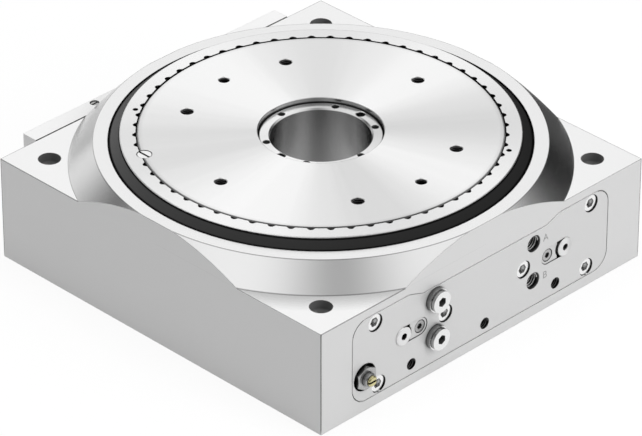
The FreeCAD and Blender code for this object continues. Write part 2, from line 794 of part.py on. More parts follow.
def bearing_outer_ring():
    bottom = roller_pitch_r + race_reach()
    half = bottom - outer_ring_inner_r
    return turned([(bearing_seat_r, bearing_bottom_z), (bearing_seat_r, bearing_top_z),
                   (outer_ring_inner_r, bearing_top_z), (outer_ring_inner_r, bearing_mid_z + half),
                   (bottom, bearing_mid_z), (outer_ring_inner_r, bearing_mid_z - half),
                   (outer_ring_inner_r, bearing_bottom_z)])


def bearing_inner_ring(flat_z):
    bottom = roller_pitch_r - race_reach()
    half = inner_ring_outer_r - bottom
    race_z = bearing_mid_z + math.copysign(half, flat_z - bearing_mid_z)
    return turned([(thread_r, flat_z), (inner_ring_outer_r, flat_z), (inner_ring_outer_r, race_z),
                   (bottom, bearing_mid_z), (thread_r, bearing_mid_z)])


def roller_axes():
    """Rollers leaning 45 degrees in and out by turns."""
    return [(k * 360.0 / roller_count, 1 if k % 2 else -1) for k in range(roller_count)]


def roller(angle, lean, r, length):
    x, y = polar(1.0, angle)
    axis = vec(x, y, lean) * math.sqrt(0.5)
    middle = vec(x * roller_pitch_r, y * roller_pitch_r, bearing_mid_z)
    return Part.makeCylinder(r, length, middle - axis * (length / 2), axis)


def bearing_rollers():
    return group([roller(angle, lean, roller_d / 2, roller_l) for angle, lean in roller_axes()])


def bearing_cage():
    middle = (inner_ring_outer_r + outer_ring_inner_r) / 2.0
    cage = ring(middle - cage_t / 2, middle + cage_t / 2, bearing_bottom_z + cage_end_gap,
                bearing_top_z - cage_end_gap)
    return cage.cut([roller(angle, lean, cage_hole_d / 2, 3 * roller_l) for angle, lean in roller_axes()])


def rim_seal():
    lip_r = plate_r + seal_lip_gap
    lip_z = total_height - seal_lip_drop
    wall_r = plate_r + seal_wall_gap
    edge_z = rim_top_z - seal_edge_drop
    slope = (lip_z - edge_z) / (seal_outer_r - lip_r)
    shoulder_z = edge_z - seal_shoulder_drop
    lip_low_z = lip_z - seal_lip_w * slope - seal_lip_h
    root_z = lip_low_z - (wall_r - lip_r)
    return turned([(wall_r, bearing_top_z), (seal_seat_r, bearing_top_z), (seal_seat_r, shoulder_z),
                   (seal_outer_r, shoulder_z), (seal_outer_r, edge_z),
                   (lip_r + seal_lip_w, lip_z - seal_lip_w * slope),
                   (lip_r, lip_z - 2 * seal_lip_w * slope), (lip_r, lip_low_z - seal_lip_h),
                   (wall_r, root_z)])


def lock_bolt_bush():
    inner = lock_bolt_d / 2 + fit_gap
    bush = ring(inner, inner + lock_bush_t, island_z - lock_bush_l, island_z)
    bush.translate(vec(cylinder_x, 0, 0))
    return bush


def gear_thrust_washer():
    seat = base_plate_t + hub_flange_t
    return ring(hub_r + loose_gap, gear_sleeve_r, seat, seat + washer_t)


def damper_body():
    body = bar_y(damper_d / 2, cover_inner_y, damper_end_y, damper_x, damper_z)
    stub = bar_y(damper_thread_d / 2, damper_stub_y + damper_stub_chamfer, cover_inner_y, damper_x, damper_z)
    stub = stub.fuse(Part.makeCone(damper_thread_d / 2 - damper_stub_chamfer, damper_thread_d / 2,
                                   damper_stub_chamfer, vec(damper_x, damper_stub_y, damper_z), vec(0, 1, 0)))
    stem_r = adjuster_stem_d / 2 + fit_gap
    oil_front = damper_tail_y - damper_stroke - running_gap
    return body.fuse(stub).removeSplitter().cut([
        bar_y(damper_rod_d / 2 + fit_gap, oil_front, damper_end_y + 1, damper_x, damper_z),
        bar_y(damper_oil_r, oil_front, damper_oil_y, damper_x, damper_z),
        bar_y(stem_r, damper_stub_y - 1, cover_inner_y + running_gap, damper_x, damper_z)])


def damper_rod():
    head_back = damper_head_front_y - damper_head_t
    rod = bar_y(damper_rod_d / 2, damper_tail_y, head_back, damper_x, damper_z)
    return rod.fuse([bar_y(damper_head_d / 2, head_back, damper_head_front_y, damper_x, damper_z),
                     bar_y(damper_oil_r - fit_gap, damper_tail_y, damper_tail_y + damper_piston_t,
                           damper_x, damper_z)]).removeSplitter()


def damper_lock_nut():
    nut = hexagon_y(damper_nut_flats, damper_nut_y - damper_nut_t, damper_nut_y, damper_x, damper_z)
    crown_r = damper_nut_flats / 2 - damper_nut_crown
    crown = Part.makeCone(crown_r, crown_r + 2 * damper_nut_t, damper_nut_t,
                          vec(damper_x, damper_nut_y - damper_nut_t, damper_z), vec(0, 1, 0))
    thread = bar_y(damper_thread_d / 2 + fit_gap, damper_nut_y - damper_nut_t - 1, 0, damper_x, damper_z)
    return nut.common(crown).cut(thread)


def damper_adjusting_screw():
    front = -half_side - adjuster_proud
    seat = damper_stub_y - fit_gap
    screw = bar_y(adjuster_d / 2, front + adjuster_chamfer, seat, damper_x, damper_z)
    screw = screw.fuse([bar_y(adjuster_stem_d / 2, seat, cover_inner_y, damper_x, damper_z),
                        Part.makeCone(adjuster_d / 2 - adjuster_chamfer, adjuster_d / 2, adjuster_chamfer,
                                      vec(damper_x, front, damper_z), vec(0, 1, 0))])
    half = adjuster_slot_w / 2
    slot = box(damper_x - adjuster_d, damper_x + adjuster_d, front - 1, front + adjuster_slot_depth,
               damper_z - half, damper_z + half)
    return screw.removeSplitter().cut(slot)


def rotary_plate():
    top = total_height
    seam_r = thread_r - seam_w / 2
    plate = turned([(plate_bore_r, plate_bottom_z), (plate_bore_r, top - edge_chamfer),
                    (plate_bore_r + edge_chamfer, top), (seam_r - seam_chamfer, top),
                    (seam_r, top - seam_chamfer), (seam_r, top - seam_depth),
                    (thread_r, top - seam_depth), (thread_r, bearing_bottom_z),
                    (thread_r + flange_w, bearing_bottom_z), (thread_r + flange_w, skirt_bottom_z),
                    (skirt_inner_r, skirt_bottom_z), (skirt_inner_r, plate_bottom_z)])
    pitch_r = plate_pitch_d / 2
    thread = disc(plate_thread_core_d / 2, plate_bottom_z - 1, top + 1, pitch_r)
    thread_rim = Part.makeCone(plate_thread_core_d / 2, plate_thread_core_d / 2 + edge_chamfer, edge_chamfer,
                               vec(pitch_r, 0, top - edge_chamfer))
    dowel = disc(dowel_d / 2, top - dowel_depth, top + 1, pitch_r)
    dowel_rim = Part.makeCone(dowel_d / 2, dowel_d / 2 + edge_chamfer, edge_chamfer,
                              vec(pitch_r, 0, top - edge_chamfer))
    cuts = round_table(thread, plate_thread_count) + round_table(thread_rim, plate_thread_count)
    cuts += round_table(dowel, 2, plate_dowel_first) + round_table(dowel_rim, 2, plate_dowel_first)
    tap = disc(m5_d / 2 + fit_gap, plate_bottom_z - 1, index_head_z + index_screw_l + 1, index_screw_r)
    cuts += round_table(tap, plate_thread_count, index_screw_first)
    pin_hole = disc(dowel_d / 2, plate_bottom_z - 1, plate_bottom_z + plate_t / 2, index_screw_r)
    cuts += at_angles(pin_hole, index_dowel_angles)
    cuts.append(ring_screw_hole())
    return plate.cut(cuts)


def ring_screw_hole():
    x, y = polar(thread_r - ring_screw_in, ring_screw_angle)
    return disc(ring_screw_d / 2 + ring_screw_gap, total_height - ring_screw_l, total_height + 1, x, y)


def adjusting_ring():
    top = total_height
    seam_r = thread_r + seam_w / 2
    body = turned([(thread_r, bearing_top_z), (thread_r, top - seam_depth), (seam_r, top - seam_depth),
                   (seam_r, top), (plate_r - edge_chamfer, top), (plate_r, top - edge_chamfer),
                   (plate_r, bearing_top_z)])
    notch = disc(notch_r, top - notch_depth, top + 1, thread_r + seam_w / 2)
    spanner = disc(spanner_hole_d / 2, top - notch_depth, top + 1, thread_r + spanner_hole_in)
    return body.cut(round_table(notch, notch_count) + at_angles(spanner, spanner_hole_angles)
                    + [ring_screw_hole()])


def ring_locking_screw():
    x, y = polar(thread_r - ring_screw_in, ring_screw_angle)
    top = total_height - ring_screw_sink
    screw = disc(ring_screw_d / 2, total_height - ring_screw_l, top, x, y)
    half = ring_screw_slot_w / 2
    return screw.cut(box(x - half, x + half, y - ring_screw_d, y + ring_screw_d,
                         top - ring_screw_slot_depth, top + 1))


def index_plate():
    plate = ring(plate_bore_r + loose_gap, index_plate_r, index_bottom_z, plate_bottom_z)
    low = index_bottom_z - 1
    high = plate_bottom_z + 1
    bush_seat = disc(lock_bolt_d / 2 + pocket_gap + index_bush_t, low, high, cylinder_x)
    pawl_pocket = disc(pawl_d / 2 + pocket_gap, low, high, pawl_r)
    head = vec(index_screw_r, 0, index_head_z)
    screw = screw_hole(m5_screw, head, vec(0, 0, 1), index_plate_t, index_plate_t)
    cuts = round_table(bush_seat, index_count) + round_table(pawl_pocket, index_count)
    cuts += round_table(screw, plate_thread_count, index_screw_first)
    cuts += at_angles(disc(dowel_d / 2, low, high, index_screw_r), index_dowel_angles)
    return plate.cut(cuts)


def index_bushes():
    inner = lock_bolt_d / 2 + pocket_gap
    bush = ring(inner, inner + index_bush_t, index_bottom_z, plate_bottom_z)
    bush.translate(vec(cylinder_x, 0, 0))
    return group(round_table(bush, index_count))


def index_plate_screws():
    screw = cap_screw(m5_screw, vec(index_screw_r, 0, index_head_z), vec(0, 0, 1), index_screw_l)
    return group(round_table(screw, plate_thread_count, index_screw_first))


def index_plate_dowels():
    top = plate_bottom_z + plate_t / 2 - loose_gap
    pin = disc(dowel_d / 2, index_bottom_z + running_gap, top, index_screw_r)
    return group(at_angles(pin, index_dowel_angles))


def involute(angle):
    return math.tan(angle) - angle


def gear_outline():
    """Involute teeth, thinned for backlash. The first tooth points to the rack."""
    pressure = math.radians(pressure_angle)
    base_r = gear_pitch_r * math.cos(pressure)
    half_tooth = (math.pi * gear_module - backlash) / 2.0 / (2.0 * gear_pitch_r)
    radii = [gear_root_r + k * (gear_tip_r - gear_root_r) / 3.0 for k in range(4)]
    flank = []
    for r in radii:
        lean = involute(pressure) - involute(math.acos(min(1.0, base_r / r)))
        flank.append((r, math.degrees(half_tooth + lean)))
    outline = []
    for k in range(gear_teeth):
        middle = 180.0 + k * 360.0 / gear_teeth
        outline += [polar(r, middle - half) for r, half in flank]
        outline += [polar(r, middle + half) for r, half in reversed(flank)]
    return outline


def drive_gear():
    gear = prism_z(gear_outline(), gear_low_z, gear_high_z)
    step_z = gear_high_z + carrier_relief_h
    gear = gear.fuse([disc(gear_sleeve_r, gear_bottom_z, gear_low_z),
                      disc(carrier_r - carrier_relief, gear_high_z, step_z),
                      disc(carrier_r, step_z, carrier_top_z)])
    spring_floor = pawl_top_z - pawl_l - spring_l
    cuts = [disc(gear_bore_r, gear_bottom_z - 1, carrier_top_z + 1),
            disc(pawl_d / 2 + fit_gap, spring_floor, carrier_top_z + 1, 0, pawl_r)]
    return gear.cut(cuts)


def gear_bush():
    return ring(hub_r + fit_gap, gear_bore_r, gear_bottom_z, carrier_top_z)


def drive_pawl():
    shoulder_z = pawl_top_z - pawl_tip
    pawl = disc(pawl_d / 2, pawl_top_z - pawl_l, shoulder_z, 0, pawl_r)
    return pawl.fuse(Part.makeCone(pawl_d / 2, pawl_d / 2 - pawl_tip, pawl_tip, vec(0, pawl_r, shoulder_z)))


def pawl_spring():
    """A coil spring of square wire that stands in the gear and lifts the pawl."""
    half = spring_wire_d / 2
    low = pawl_top_z - pawl_l - spring_l + half
    rise = spring_l - spring_wire_d
    steps = spring_turns * spring_bends
    sections = []
    for k in range(steps + 1):
        x, y = polar(1.0, k * 360.0 / spring_bends)
        z = low + rise * k / steps
        corners = [vec(x * r, pawl_r + y * r, z + h) for r, h in
                   ((spring_coil_r - half, -half), (spring_coil_r + half, -half),
                    (spring_coil_r + half, half), (spring_coil_r - half, half))]
        sections.append(Part.makePolygon(corners + corners[:1]))
    return Part.makeLoft(sections, True, True)


def grooves(middle_y, half_l):
    """Ring grooves for the seals and guide rings near both ends of a piston, as (y0, y1) pairs."""
    spans = []
    for end in (-1, 1):
        for start, width in ((seal_from_end, seal_w), (guide_from_end, guide_w)):
            a = middle_y + end * (half_l - start)
            b = a - end * width
            spans.append((min(a, b), max(a, b), start == seal_from_end))
    return spans


def groove_rings(middle_y, half_l, x, seals):
    outer = cylinder_r - piston_gap / 2
    inner = piston_r - groove_depth
    rings = []
    for y0, y1, is_seal in grooves(middle_y, half_l):
        if is_seal == seals:
            rings.append(bar_y(outer, y0, y1, x, cylinder_z).cut(bar_y(inner, y0 - 1, y1 + 1, x, cylinder_z)))
    return group(rings)


def piston_blank(middle_y, half_l, x):
    blank = bar_y(piston_r, middle_y - half_l, middle_y + half_l, x, cylinder_z)
    cuts = []
    for y0, y1, is_seal in grooves(middle_y, half_l):
        cuts.append(bar_y(piston_r + 1, y0, y1, x, cylinder_z).cut(
            bar_y(piston_r - groove_depth, y0 - 1, y1 + 1, x, cylinder_z)))
    return blank.cut(cuts)


def drive_piston():
    """The rack piston. The gear's teeth run in the gaps cut across its flat."""
    x = -cylinder_x
    flat_x = -gear_pitch_r + gear_module
    root_x = -gear_pitch_r - gear_dedendum
    pitch = math.pi * gear_module
    near = math.sqrt(gear_tip_r ** 2 - (cylinder_x - piston_r) ** 2) + running_gap
    half_gaps = int(math.ceil(near / pitch)) + 1
    extra = int(math.ceil(drive_stroke / pitch))
    slope = math.tan(math.radians(pressure_angle))
    low_z = cylinder_z - rack_half_width
    high_z = cylinder_z + rack_half_width
    first = -half_gaps
    last = half_gaps + extra
    half_gap = pitch / 4.0
    cuts = [box(flat_x, 0, (first - 0.5) * pitch, (last + 0.5) * pitch, low_z, high_z)]
    for k in range(first + 1, last):
        y = k * pitch
        wide = half_gap + slope * (flat_x + 0.5 + gear_pitch_r)
        narrow = half_gap - slope * gear_dedendum
        cuts.append(prism_z([(flat_x + 0.5, y - wide), (flat_x + 0.5, y + wide),
                             (root_x, y + narrow), (root_x, y - narrow)], low_z, high_z))
    cuts.append(box(x - cylinder_r, arm_root_x, arm_front_y, arm_front_y + arm_t, arm_neck_z, arm_top_z))
    bite = arm_screw_bite + 1
    cuts.append(bar_x(m5_d / 2 + fit_gap, arm_root_x, arm_root_x + bite, arm_screw_y, arm_screw_z))
    return piston_blank(drive_mid_y, drive_half_l, x).cut(cuts)


def buffer_arm():
    arm = box(arm_outer_x, arm_neck_x, arm_front_y, arm_front_y + arm_t, arm_low_z, arm_top_z)
    arm = arm.fuse(box(arm_neck_x, arm_root_x, arm_front_y, arm_front_y + arm_t, arm_neck_z, arm_top_z))
    cuts = [bar_x(m5_d / 2 + fit_gap, arm_outer_x, arm_root_x + 1, arm_screw_y, arm_screw_z),
            bar_x(m5_head_d / 2 + loose_gap, arm_outer_x - 1, arm_head_x, arm_screw_y, arm_screw_z)]
    return arm.removeSplitter().cut(cuts)


def buffer_arm_screw():
    place = vec(arm_head_x, arm_screw_y, arm_screw_z)
    return cap_screw(m5_screw, place, vec(1, 0, 0), arm_root_x + arm_screw_bite - arm_head_x)


def lock_piston():
    """The second piston. A ramp in its back lifts the lock bolt as it slides."""
    x = cylinder_x
    flat_x = gear_tip_r + lock_flat_gap
    near = math.sqrt(gear_tip_r ** 2 - (cylinder_x - piston_r) ** 2) + lock_stroke / 2 + lock_slot_end
    reach = lock_stroke / 2 + lock_bolt_d / 2 + lock_slot_end
    low_y = lock_mid_y - reach
    high_y = lock_mid_y + reach
    low_z = cylinder_z - cylinder_r
    high_z = cylinder_z + cylinder_r
    ramp_low = ramp_rest_z + ramp_slope * low_y
    ramp_high = ramp_rest_z + ramp_slope * high_y
    side = [vec(x - lock_slot_w / 2, low_y, ramp_low), vec(x - lock_slot_w / 2, high_y, ramp_high),
            vec(x - lock_slot_w / 2, high_y, high_z + 1), vec(x - lock_slot_w / 2, low_y, high_z + 1)]
    slot = Part.Face(Part.makePolygon(side + side[:1])).extrude(vec(lock_slot_w, 0, 0))
    flat = box(0, flat_x, lock_mid_y - near, lock_mid_y + near, low_z, high_z)
    return piston_blank(lock_mid_y, lock_half_l, x).cut([slot, flat])


def lock_bolt():
    """The bolt that enters a bush of the index plate. Its foot has the ramp's slope."""
    r = lock_bolt_d / 2
    shoulder_z = lock_top_z - lock_bolt_tip
    bolt = disc(r, cylinder_z, shoulder_z, cylinder_x, 0)
    bolt = bolt.fuse(Part.makeCone(r, r - lock_bolt_tip / 2, lock_bolt_tip, vec(cylinder_x, 0, shoulder_z)))
    foot_z = ramp_rest_z + fit_gap
    far = 2 * r
    left = cylinder_x - far
    under = [vec(left, -far, foot_z - ramp_slope * far), vec(left, far, foot_z + ramp_slope * far),
             vec(left, far, cylinder_z - 1), vec(left, -far, cylinder_z - 1)]
    return bolt.cut(Part.Face(Part.makePolygon(under + under[:1])).extrude(vec(2 * far, 0, 0)))


pieces = {
    "housing": housing(),
    "base_plate": base_plate(),
    "base_plate_screws": base_plate_screws(),
    "buffer_pocket_cover": buffer_pocket_cover(),
    "buffer_pocket_screws": buffer_pocket_screws(),
    "hub_tube": hub_tube(),
    "hub_tube_screws": hub_tube_screws(),
    "front_cover": front_cover(),
    "front_cover_gasket": front_cover_gasket(),
    "front_cover_screws": front_cover_screws(),
    "port_plug_upper": port_plug(port_upper_z),
    "port_plug_lower": port_plug(port_lower_z),
    "sensor_sleeve_left": sensor_sleeve(-1),
    "sensor_sleeve_right": sensor_sleeve(1),
    "sleeve_clamp_left": sleeve_clamp(-1),
    "sleeve_clamp_right": sleeve_clamp(1),
    "sleeve_clamp_screws": sleeve_clamp_screws(),
    "rear_cover": rear_cover(),
    "rear_cover_gasket": rear_cover_gasket(),
    "rear_cover_screws": rear_cover_screws(),
    "rear_cover_grub_screws": rear_cover_grub_screws(),
    "bearing_outer_ring": bearing_outer_ring(),
    "rim_seal": rim_seal(),
    "lock_bolt_bush": lock_bolt_bush(),
    "gear_thrust_washer": gear_thrust_washer(),
    "damper_body": damper_body(),
    "damper_lock_nut": damper_lock_nut(),
    "damper_rod": damper_rod(),
    "damper_adjusting_screw": damper_adjusting_screw(),
    "rotary_plate": rotary_plate(),
    "adjusting_ring": adjusting_ring(),
    "ring_locking_screw": ring_locking_screw(),
    "index_plate": index_plate(),
    "index_bushes": index_bushes(),
    "index_plate_screws": index_plate_screws(),
    "index_plate_dowels": index_plate_dowels(),
    "bearing_inner_ring_upper": bearing_inner_ring(bearing_top_z),
    "bearing_inner_ring_lower": bearing_inner_ring(bearing_bottom_z),
    "bearing_rollers": bearing_rollers(),
    "bearing_cage": bearing_cage(),
    "drive_piston": drive_piston(),
    "drive_piston_seals": groove_rings(drive_mid_y, drive_half_l, -cylinder_x, True),
    "drive_piston_guide_rings": groove_rings(drive_mid_y, drive_half_l, -cylinder_x, False),
    "buffer_arm": buffer_arm(),
    "buffer_arm_screw": buffer_arm_screw(),
    "drive_gear": drive_gear(),
    "gear_bush": gear_bush(),
    "pawl_spring": pawl_spring(),
    "drive_pawl": drive_pawl(),
    "lock_piston": lock_piston(),
    "lock_piston_seals": groove_rings(lock_mid_y, lock_half_l, cylinder_x, True),
    "lock_piston_guide_rings": groove_rings(lock_mid_y, lock_half_l, cylinder_x, False),
    "lock_bolt": lock_bolt(),
}

os.makedirs("parts", exist_ok=True)
for name, shape in pieces.items():
    shape.exportStep("parts/" + name + ".step")
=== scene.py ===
import json
import math

import bpy
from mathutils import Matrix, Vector


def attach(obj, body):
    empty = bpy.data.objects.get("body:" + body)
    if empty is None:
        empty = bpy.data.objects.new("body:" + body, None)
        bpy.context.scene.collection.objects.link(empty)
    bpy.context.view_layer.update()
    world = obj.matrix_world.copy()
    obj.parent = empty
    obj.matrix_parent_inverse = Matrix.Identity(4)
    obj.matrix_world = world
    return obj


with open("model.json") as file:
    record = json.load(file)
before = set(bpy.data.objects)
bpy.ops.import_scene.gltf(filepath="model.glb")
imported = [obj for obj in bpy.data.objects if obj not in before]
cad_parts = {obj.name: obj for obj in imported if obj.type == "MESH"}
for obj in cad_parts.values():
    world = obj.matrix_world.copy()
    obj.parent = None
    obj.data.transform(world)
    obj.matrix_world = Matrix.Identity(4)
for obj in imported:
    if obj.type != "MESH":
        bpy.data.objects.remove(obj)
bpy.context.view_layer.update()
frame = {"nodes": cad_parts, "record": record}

# Places on the CAD model that the finishes and the threads refer to, in metres. The limits of an opening
# are drawn a little wide or narrow, so that a finish ends beside its edge.
MM = 0.001
HALF_SIDE = 124.0 * MM
CORNER_TOP_Z = 63.0 * MM
CORNER_HOLE_OUT = 105.0 * MM
CORNER_HOLE_R = 6.25 * MM
CONE_FOOT_R = 138.3 * MM
CONE_START = 61.2 * MM
RIM_R = 124.5 * MM
RIM_TOP_Z = 76.8 * MM
SEAL_SEAT_R = 116.4 * MM
SEAL_OUTER_R = 115.6 * MM

COVER_FACE_Y = -HALF_SIDE
COVER_DEPTH = 11.5 * MM
COVER_LEFT_X = -100.2 * MM
COVER_RIGHT_X = 96.9 * MM
COVER_BOTTOM_Z = 7.1 * MM
COVER_MIDDLE_TOP_Z = 53.2 * MM
COVER_END_TOP_Z = 57.1 * MM
COVER_STEP_X = 58.2 * MM
COVER_HOLES = ((-56.2 * MM, 13.0 * MM), (56.2 * MM, 13.0 * MM), (0.4 * MM, 12.6 * MM))
PORT_X = 38.3 * MM
PORT_HEIGHTS = (46.2 * MM, 22.5 * MM)
LETTER_X = 47.6 * MM
LETTER_HEIGHTS = {"A": 46.1 * MM, "B": 22.2 * MM}
LETTER_SIZE = 6.4 * MM
LETTER_RAISE = 0.04 * MM
LETTER_THINNING = 0.08 * MM
PLUG_FRONT_Y = -129.2 * MM
SOCKET_R = 3.0 * MM
SLEEVE_X = 62.7 * MM
SLEEVE_Z = 33.7 * MM
SLEEVE_SEAT_R = 6.8 * MM
SENSOR_BORE_R = 2.1 * MM
DAMPER_X = -91.4 * MM
DAMPER_Z = 21.3 * MM
DAMPER_POCKET_R = 12.5 * MM
REAR_INNER_Y = 124.8 * MM
GRUB_X = 46.8 * MM
GRUB_Y = 131.6 * MM
GRUB_HOLE_R = 2.8 * MM

PLATE_TOP_Z = 81.5 * MM
PLATE_BORE_EDGE_R = 35.5 * MM
PITCH_R = 76.0 * MM
DOWEL_BEVEL = 0.7 * MM
SEAM_R = 100.8 * MM
NOTCHES = 60.0
NOTCH_EDGE_R = 100.85 * MM
NOTCH_LIP = 1.6 * MM
NOTCH_CURVE = 16.5
HUB_TOP_Z = 78.5 * MM
HUB_PITCH_R = 30.7 * MM

# How far below its hole's mouth each thread starts, and how far its foot goes into the wall
PORT_THREAD_IN = 1.5 * MM
COVER_THREAD_IN = 0.8 * MM
PLATE_THREAD_IN = 1.0 * MM
HUB_THREAD_IN = 0.6 * MM
THREAD_FOOT = 0.05 * MM

# Reaches of the painted shade
TOUCH = 0.03 * MM
HAIR = 0.1 * MM
EDGE_WIDTH = 0.4 * MM
DEEP_REACH = 3.0 * MM
CONE_SHADE_REACH = 15.0 * MM
HOLE_BAND_Z = 58.2 * MM
HOLE_BAND_REACH = 1.8 * MM
EDGE_LINE = 0.6 * MM
SEAM_REACH = 3.0 * MM
DOWEL_REACH = 5.0 * MM

# Shares that turn a colour nearly black, as painted shade in holes, seams and on shaded sides
BLACK = 0.08
DARK = 0.1

# Spread of the roughness over the grain, as a share of it, and the angle up to which faces are smooth
ROUGH_SPREAD = 0.3
SMOOTH_ANGLE = math.radians(35.0)

# Soft fans of painted sheen on the turned faces, which stand in for their reflections: how many go around
# the axis, where the first begins and how far the others lag behind it, in radians, and how much more the
# rear half shines than the front half
FAN_COUNT = 4.0
FAN_START = 0.95
FAN_LAG = 0.65
FAN_LAG_ANGLE = 0.7
FAN_TO_REAR = 0.25

# The broad cloud in the fine grain: its size and its share of the tone
CLOUD_SCALE = 18.0
CLOUD_SHARE = 0.3

# Shares of open sky at which a place begins to count as deep for the painted shade, and at which it is all
# deep
DEEP_FROM = 0.72
DEEP_TO = 0.42

# The turn that makes a piece drawn flat face the front
TO_FRONT = (math.radians(90.0), 0.0, 0.0)

# The floor just below the base plate, and where its dark zones come in
FLOOR_Z = -0.2 * MM
FLOOR_SIDE = 12.0
RIGHT_ZONE_X = (205.0 * MM, 270.0 * MM)
REAR_ZONE_Y = (235.0 * MM, 330.0 * MM)
REAR_ZONE_SHADE = 0.42
BEHIND_TABLE = 100.0 * MM

# A darker opening behind the camera: its place and width across the sky, and its depth of shade
OPENING_LEFT = -0.105
OPENING_WIDTH = 0.27
OPENING_SHADE = 0.62

# How much weaker the surroundings are as light on matt faces than as a reflection in bright ones
DIFFUSE_SHADE = 0.34

# Light of the surroundings: height on the sky, from level to straight up, with the brightness there
SKY_TOP = ((0.86, 1.0), (1.0, 0.6))
SKY_AWAY = ((0.0, 0.04), (0.15, 0.08), (0.28, 0.3), (0.42, 0.95), (0.62, 1.0)) + SKY_TOP
SKY_LEFT = ((0.0, 0.88), (0.15, 0.8), (0.29, 0.34), (0.36, 0.14), (0.43, 0.01), (0.62, 0.9)) + SKY_TOP
SKY_RIGHT = ((0.0, 0.01), (0.15, 0.005), (0.29, 0.07), (0.36, 0.2), (0.43, 0.45), (0.62, 0.9)) + SKY_TOP

# The two boards: their light by height, and from where to where across the sky each comes in
BOARDS = ((SKY_LEFT, 0.2, 0.46), (SKY_RIGHT, -0.06, -0.3))

CAMERA_PLACE = (-1.6586, -1.6586, 1.4913)
CAMERA_TARGET = (0.0, 0.0, 0.02472)
CAMERA_LENS = 281.5
CAMERA_SENSOR = 36.0

# Lamps: name, place, side in metres and power in watts, aimed at the target
LAMPS = (("key", (0.6, -2.6, 1.6), 1.6, 40.0), ("top", (0.0, 0.0, 3.0), 2.0, 42.0))
LAMP_TARGET = (0.0, 0.0, 50.0 * MM)


def turn_towards(place, target):
    return (Vector(target) - Vector(place)).to_track_quat("-Z", "Y").to_euler()


def add_camera():
    camera = bpy.data.objects.new("camera", bpy.data.cameras.new("camera"))
    bpy.context.scene.collection.objects.link(camera)
    camera.data.lens = CAMERA_LENS
    camera.data.sensor_width = CAMERA_SENSOR
    camera.data.clip_end = 100.0
    camera.location = CAMERA_PLACE
    camera.rotation_euler = turn_towards(CAMERA_PLACE, CAMERA_TARGET)
    bpy.context.scene.camera = camera


def new_tree(tree):
    tree.nodes.clear()
    return tree


def add_node(tree, kind, **settings):
    made = tree.nodes.new(kind)
    for key, value in settings.items():
        setattr(made, key, value)
    return made


def join(tree, source, target):
    tree.links.new(source, target)


def calculate(tree, operation, a, b=None, clamp=False):
    """A Math node. a and b are sockets or numbers."""
    made = add_node(tree, "ShaderNodeMath", operation=operation, use_clamp=clamp)
    for socket, value in zip(made.inputs, (a, b)):
        if value is None:
            continue
        if isinstance(value, (int, float)):
            socket.default_value = value
        else:
            join(tree, value, socket)
    return made.outputs[0]


def times(tree, a, b, clamp=False):
    return calculate(tree, "MULTIPLY", a, b, clamp)


def plus(tree, a, b, clamp=False):
    return calculate(tree, "ADD", a, b, clamp)


def minus(tree, a, b, clamp=False):
    return calculate(tree, "SUBTRACT", a, b, clamp)


def divided(tree, a, b):
    return calculate(tree, "DIVIDE", a, b)


def above(tree, a, b):
    return calculate(tree, "GREATER_THAN", a, b)


def below(tree, a, b):
    return calculate(tree, "LESS_THAN", a, b)


def larger(tree, a, b):
    return calculate(tree, "MAXIMUM", a, b)


def smaller(tree, a, b):
    return calculate(tree, "MINIMUM", a, b)


def to_power(tree, a, b):
    return calculate(tree, "POWER", a, b)


def size_of(tree, a):
    return calculate(tree, "ABSOLUTE", a)


def object_axes(tree):
    axes = add_node(tree, "ShaderNodeSeparateXYZ")
    join(tree, add_node(tree, "ShaderNodeTexCoord").outputs["Object"], axes.inputs[0])
    return axes.outputs["X"], axes.outputs["Y"], axes.outputs["Z"]


def fade(tree, value, low, high):
    """0 at low, 1 at high, even between and steady beyond."""
    made = add_node(tree, "ShaderNodeMapRange")
    join(tree, value, made.inputs["Value"])
    made.inputs["From Min"].default_value = low
    made.inputs["From Max"].default_value = high
    return made.outputs[0]


def facing_axes(tree):
    """The X, Y and Z of the direction that the surface faces."""
    axes = add_node(tree, "ShaderNodeSeparateXYZ")
    join(tree, add_node(tree, "ShaderNodeNewGeometry").outputs["True Normal"], axes.inputs[0])
    return axes.outputs


def distance(tree, a, b):
    """Length of a step that goes a along one axis and b along another."""
    return calculate(tree, "SQRT", plus(tree, times(tree, a, a), times(tree, b, b)))


def left_of(tree, x, y):
    """Share of x, y that points to the left corner."""
    return times(tree, minus(tree, y, x), math.sqrt(0.5))


def front_of(tree, x, y):
    """Share of x, y that points to the front corner."""
    return times(tree, plus(tree, x, y), -math.sqrt(0.5))


def level_with(tree, value, target, reach=TOUCH):
    """1 within a reach of the target, 0 elsewhere."""
    return below(tree, size_of(tree, minus(tree, value, target)), reach)


def off_the_floor(tree):
    """0 at the bottom edge, where the table stands on the floor, and 1 above it."""
    return fade(tree, object_axes(tree)[2], 0.5 * MM, 3.0 * MM)


def make_group(name, inputs, outputs):
    """A shader node group with its input and output nodes."""
    group = bpy.data.node_groups.new(name, "ShaderNodeTree")
    for label, default in inputs:
        socket = group.interface.new_socket(label, in_out="INPUT", socket_type="NodeSocketFloat")
        socket.default_value = default
    for label, kind in outputs:
        group.interface.new_socket(label, in_out="OUTPUT", socket_type=kind)
    return group, group.nodes.new("NodeGroupInput"), group.nodes.new("NodeGroupOutput")


def use_group(tree, group, **values):
    made = add_node(tree, "ShaderNodeGroup", node_tree=group)
    for label, value in values.items():
        made.inputs[label.replace("_", " ").capitalize()].default_value = value
    return made


